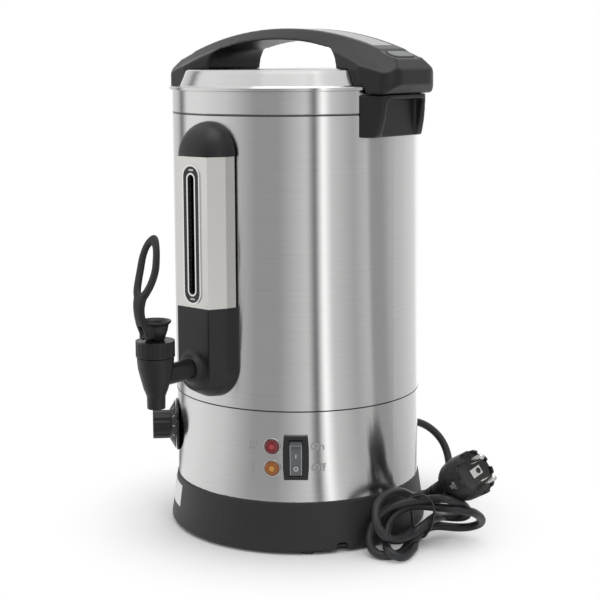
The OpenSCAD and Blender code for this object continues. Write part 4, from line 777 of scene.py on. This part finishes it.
def makeSkirt(look):
    centre, across, out = facing(look["angle"], look["foot"], look["z"])
    mm, up = 0.001, np.array([0.0, 0.0, 1.0])
    inner, outer, high = look["inner"], look["outer"], look["high"]
    cone = np.array([(inner, high + 0.1), (outer, 0.6), (outer + 0.2, 0.2), (outer - 0.8, 0.2),
                     (inner - 0.4, high - 1.2)]) * mm
    skirt = turned("knob_skirt", cone, materials["black_plastic"], centre, out, closed=True, segments=96)
    settle(skirt, "control_knob", "black_plastic")
    # bars that lie along the cone, whose height falls evenly from the inner to the outer radius
    bars = []
    for a in np.radians(np.linspace(-look["sweep"], look["sweep"], look["marks"])):
        ray, side = np.cos(a) * up + np.sin(a) * across, np.cos(a) * across - np.sin(a) * up
        far = np.array([16.5, 19.5, 19.5, 16.5])[:, None]
        rise = high - (high - 0.6) * (far - inner) / (outer - inner)
        low = centre + mm * (far * ray + np.array([-0.3, -0.3, 0.3, 0.3])[:, None] * side + rise * out)
        bars.append(gridMesh("bar", np.stack([low - 0.1 * mm * out, low + 0.15 * mm * out]), materials["mark_pale"],
                             capStart=True, capEnd=True))
    settle(joined("knob_marks", bars), "control_knob", "black_plastic")


makeSkirt(skirtLook)


def wrapped(name, obj, angle, z, radius, size, material):
    # flat mesh in x and y laid on the round body; x runs along the arc
    mesh = obj.data
    co = np.empty(len(mesh.vertices) * 3)
    mesh.vertices.foreach_get("co", co)
    co = co.reshape(-1, 3) * size
    turn = math.radians(angle) + co[:, 0] / radius
    far = radius + co[:, 2]
    put = np.stack([far * np.sin(turn), -far * np.cos(turn), z + co[:, 1]], -1)
    mesh.vertices.foreach_set("co", put.ravel())
    mesh.update()
    obj.name = name
    mesh.materials.clear()
    mesh.materials.append(material)
    settle(obj, "urn", "inner_steel")


def wordMesh(text):
    data = bpy.data.curves.new(text, "FONT")
    data.body, data.align_x, data.align_y, data.resolution_u = text, "CENTER", "CENTER", 4
    data.offset = 0.012
    word = bpy.data.objects.new(text, data)
    scene.collection.objects.link(word)
    mesh = bpy.data.meshes.new_from_object(word.evaluated_get(bpy.context.evaluated_depsgraph_get()))
    bpy.data.objects.remove(word)
    obj = bpy.data.objects.new(text, mesh)
    scene.collection.objects.link(obj)
    return obj


def wavesMesh(count):
    # short wavy bars beside each other, a plain sign for heat: x = place + 0.14 sin(pi t), z = 0.75 t
    t = np.linspace(-1.0, 1.0, 25)
    place = (np.arange(count) - (count - 1) / 2)[:, None] * 0.55 + 0.14 * np.sin(t * np.pi)[None, :]
    edge = np.array([-0.09, 0.09])
    rows = np.stack([place[..., None] + edge, np.broadcast_to(0.75 * t[None, :, None], (count, 25, 2)),
                     np.zeros((count, 25, 2))], -1)
    return joined("waves", [gridMesh("wave", row, materials["etched"], closedU=False) for row in rows])


bandOut = 0.1048
wrapped("word_on", wordMesh("On"), 49.6, 0.0881, bandOut, 0.0090, materials["etched"])
wrapped("word_off", wordMesh("Off"), 49.9, 0.0705, bandOut, 0.0090, materials["etched"])
wrapped("sign_heating", wavesMesh(3), 20.5, 0.0881, bandOut, 0.0042, materials["etched"])
wrapped("sign_warm", wavesMesh(1), 20.5, 0.0705, bandOut, 0.0042, materials["etched"])

# black rings painted as shade in the groove near the top of the shell and in its joint with the lower band, and a
# blank label on the base
for name, z, deep in (("seam_upper", 0.35385, 0.10503), ("seam_lower", 0.11715, 0.10512)):
    # each ring is a dark sheet standing in for the shade in the groove
    painted_groove_shade = turned(name, np.array([(0.1046, -0.0005), (deep, -0.0005), (deep, 0.0005), (0.1046, 0.0005)]),
                  materials["gloss_black"], (0, 0, z), closed=True)
    settle(painted_groove_shade, "urn", "gloss_black")


def makeLabel(low, high, left, right):
    # thin sheet on the base's cone, whose radius grows by 5.5 mm over 41.5 mm downwards
    turn, z = np.meshgrid(np.radians(np.linspace(left, right, 25)), np.array([low, high]))
    far = 0.1055 + 0.0055 * (0.042 - z) / 0.0415
    sheet = [np.stack([(far + d) * np.sin(turn), -(far + d) * np.cos(turn), z], -1) for d in (-0.0004, 0.00025)]
    rows = np.stack([sheet[0][0], sheet[1][0], sheet[1][1], sheet[0][1]])
    label = gridMesh("base_label", rows.transpose(1, 0, 2), materials["label_white"], capStart=True, capEnd=True)
    settle(label, "urn", "base_plastic")


materials["label_white"] = mouldedPlastic("labelWhite", (0.80, 0.80, 0.80), 0.45, 300.0, 0.02)
makeLabel(0.018, 0.036, -54.0, -27.5)

# gauge: grey tube with fine divisions, and a plain bar at each end of the slot
gaugeLook = dict(y=0.118, radius=0.0046, low=0.1625, high=0.327, front=0.12755, middle=0.25967, slot=0.096)


def tubeFinish():
    def build(b):
        x, y, z = b.apart(b.place())
        tick = ((z - 0.2) / 0.0041).math("FRACT")
        line = b.between(tick, 0.70, 0.78) * b.between(tick, 0.90, 0.98, 1.0, 0.0)
        wide = b.between(x.math("ABSOLUTE"), 0.0016, 0.0021, 1.0, 0.0)
        cloudy = b.noise(b.place(), 60.0, 2.0, 0.5)
        colour = b.mix(line * wide * 0.85, b.mix(cloudy, rgb(0.40, 0.41, 0.42), rgb(0.50, 0.51, 0.52)),
                       rgb(0.02, 0.02, 0.022))
        return {"Base Color": colour, "Roughness": cloudy * 0.1 + 0.12}
    return finish("tubeGrey", build, **{"Coat Weight": 0.5})


materials["tube_grey"] = tubeFinish()


def makeGauge(look):
    ring = np.array([(look["radius"] - 0.001, look["low"]), (look["radius"], look["low"]),
                     (look["radius"], look["high"]), (look["radius"] - 0.001, look["high"])])
    tube = turned("gauge_tube", ring, materials["tube_grey"], (0, -look["y"], 0), closed=True, segments=48)
    settle(tube, "urn", "sight_glass", "sight_tube")
    bars = []
    for side in (-1, 1):
        z = look["middle"] + side * (look["slot"] / 2 + 0.0038)
        bars.append(block("bar", (-0.0024, -look["front"] - 0.0001, z - 0.0007),
                          (0.0024, -look["front"] + 0.0003, z + 0.0007), materials["mark_pale"]))
    marks = joined("gauge_marks", bars)
    settle(marks, "urn", "gloss_black")


makeGauge(gaugeLook)
print("controls and gauge made")


# wall brightness by azimuth, from behind (0) through the left, the front (0.5) and the right to behind (1)
studio = dict(strength=1.0, floor=0.93, near=0.11, far=0.22, walls=[
    (0.0, 0.9), (0.03, 1.2), (0.09, 1.1), (0.14, 0.85), (0.22, 0.7), (0.25, 0.2), (0.28, 1.0), (0.34, 1.0),
    (0.43, 0.8), (0.51, 0.4), (0.57, 0.4), (0.64, 0.8), (0.66, 0.1), (0.68, 1.6), (0.70, 0.8), (0.76, 0.5),
    (0.80, 0.7), (0.81, 0.4), (0.85, 0.4), (0.88, 0.6), (0.95, 0.8), (1.0, 0.9)])


def wallTone(b, x, y, walls):
    turn = b.add("ShaderNodeMath", dict(operation="ARCTAN2"), {0: x, 1: y * -1.0}) / (2 * math.pi) + 0.5
    return b.add("ShaderNodeValToRGB", dict(stops=[(p, (v, v, v)) for p, v in walls]), {0: turn})


def makeWorld(look):
    world = bpy.data.worlds.new("studio")
    scene.world = world
    world.use_nodes = True
    b = Board(world.node_tree)
    x, y, z = b.apart(b.add("ShaderNodeTexCoord", {}, {}, "Generated"))
    room = b.mix(b.between(z, 0.25, 0.8), wallTone(b, x, y, look["walls"]), grey(1.0))
    rays = b.add("ShaderNodeLightPath", {}, {}, "Is Camera Ray")
    seen = rays.math("MAXIMUM", b.add("ShaderNodeLightPath", {}, {}, "Is Transmission Ray"))
    back = b.add("ShaderNodeBackground", {}, {0: b.mix(seen, room, grey(1.0)), 1: look["strength"]})
    b.add("ShaderNodeOutputWorld", {}, {0: back})


def makeFloor(look):
    gx, gy = np.meshgrid([-3.0, 3.0], [-3.0, 3.0], indexing="ij")
    mat = bpy.data.materials.new("floorPale")
    mat.use_nodes = True
    floor = gridMesh("floor", np.stack([gx, gy, 0 * gx], -1), mat, closedU=False)
    b = Board(mat.node_tree)
    x, y, z = b.apart(b.place())
    away = b.between((x * x + y * y).math("SQRT"), look["near"], look["far"])
    camera = b.add("ShaderNodeLightPath", {}, {}, "Is Camera Ray")
    glossy = b.add("ShaderNodeLightPath", {}, {}, "Is Glossy Ray")
    tone = b.mix(glossy, grey(1.0), wallTone(b, x, y, look["walls"]))
    white = b.add("ShaderNodeEmission", {}, {0: tone, 1: 1.0})
    matt = b.add("ShaderNodeBsdfDiffuse", {}, {0: grey(look["floor"])})
    both = b.add("ShaderNodeMixShader", {}, {0: away * camera.math("MAXIMUM", glossy), 1: matt, 2: white})
    b.add("ShaderNodeOutputMaterial", {}, {0: both})


def softbox(name, place, aim, size, power):
    data = bpy.data.lights.new(name, "AREA")
    data.shape, data.size, data.size_y, data.energy = "RECTANGLE", size[0], size[1], power
    lamp = bpy.data.objects.new(name, data)
    lamp.location = place
    lamp.rotation_euler = (Vector(aim) - Vector(place)).to_track_quat("-Z", "Y").to_euler()
    scene.collection.objects.link(lamp)


makeWorld(studio)
makeFloor(studio)
softbox("topBox", (0.2, -0.3, 1.9), (0.0, 0.0, 0.25), (1.3, 1.3), 7.0)
print("studio made")
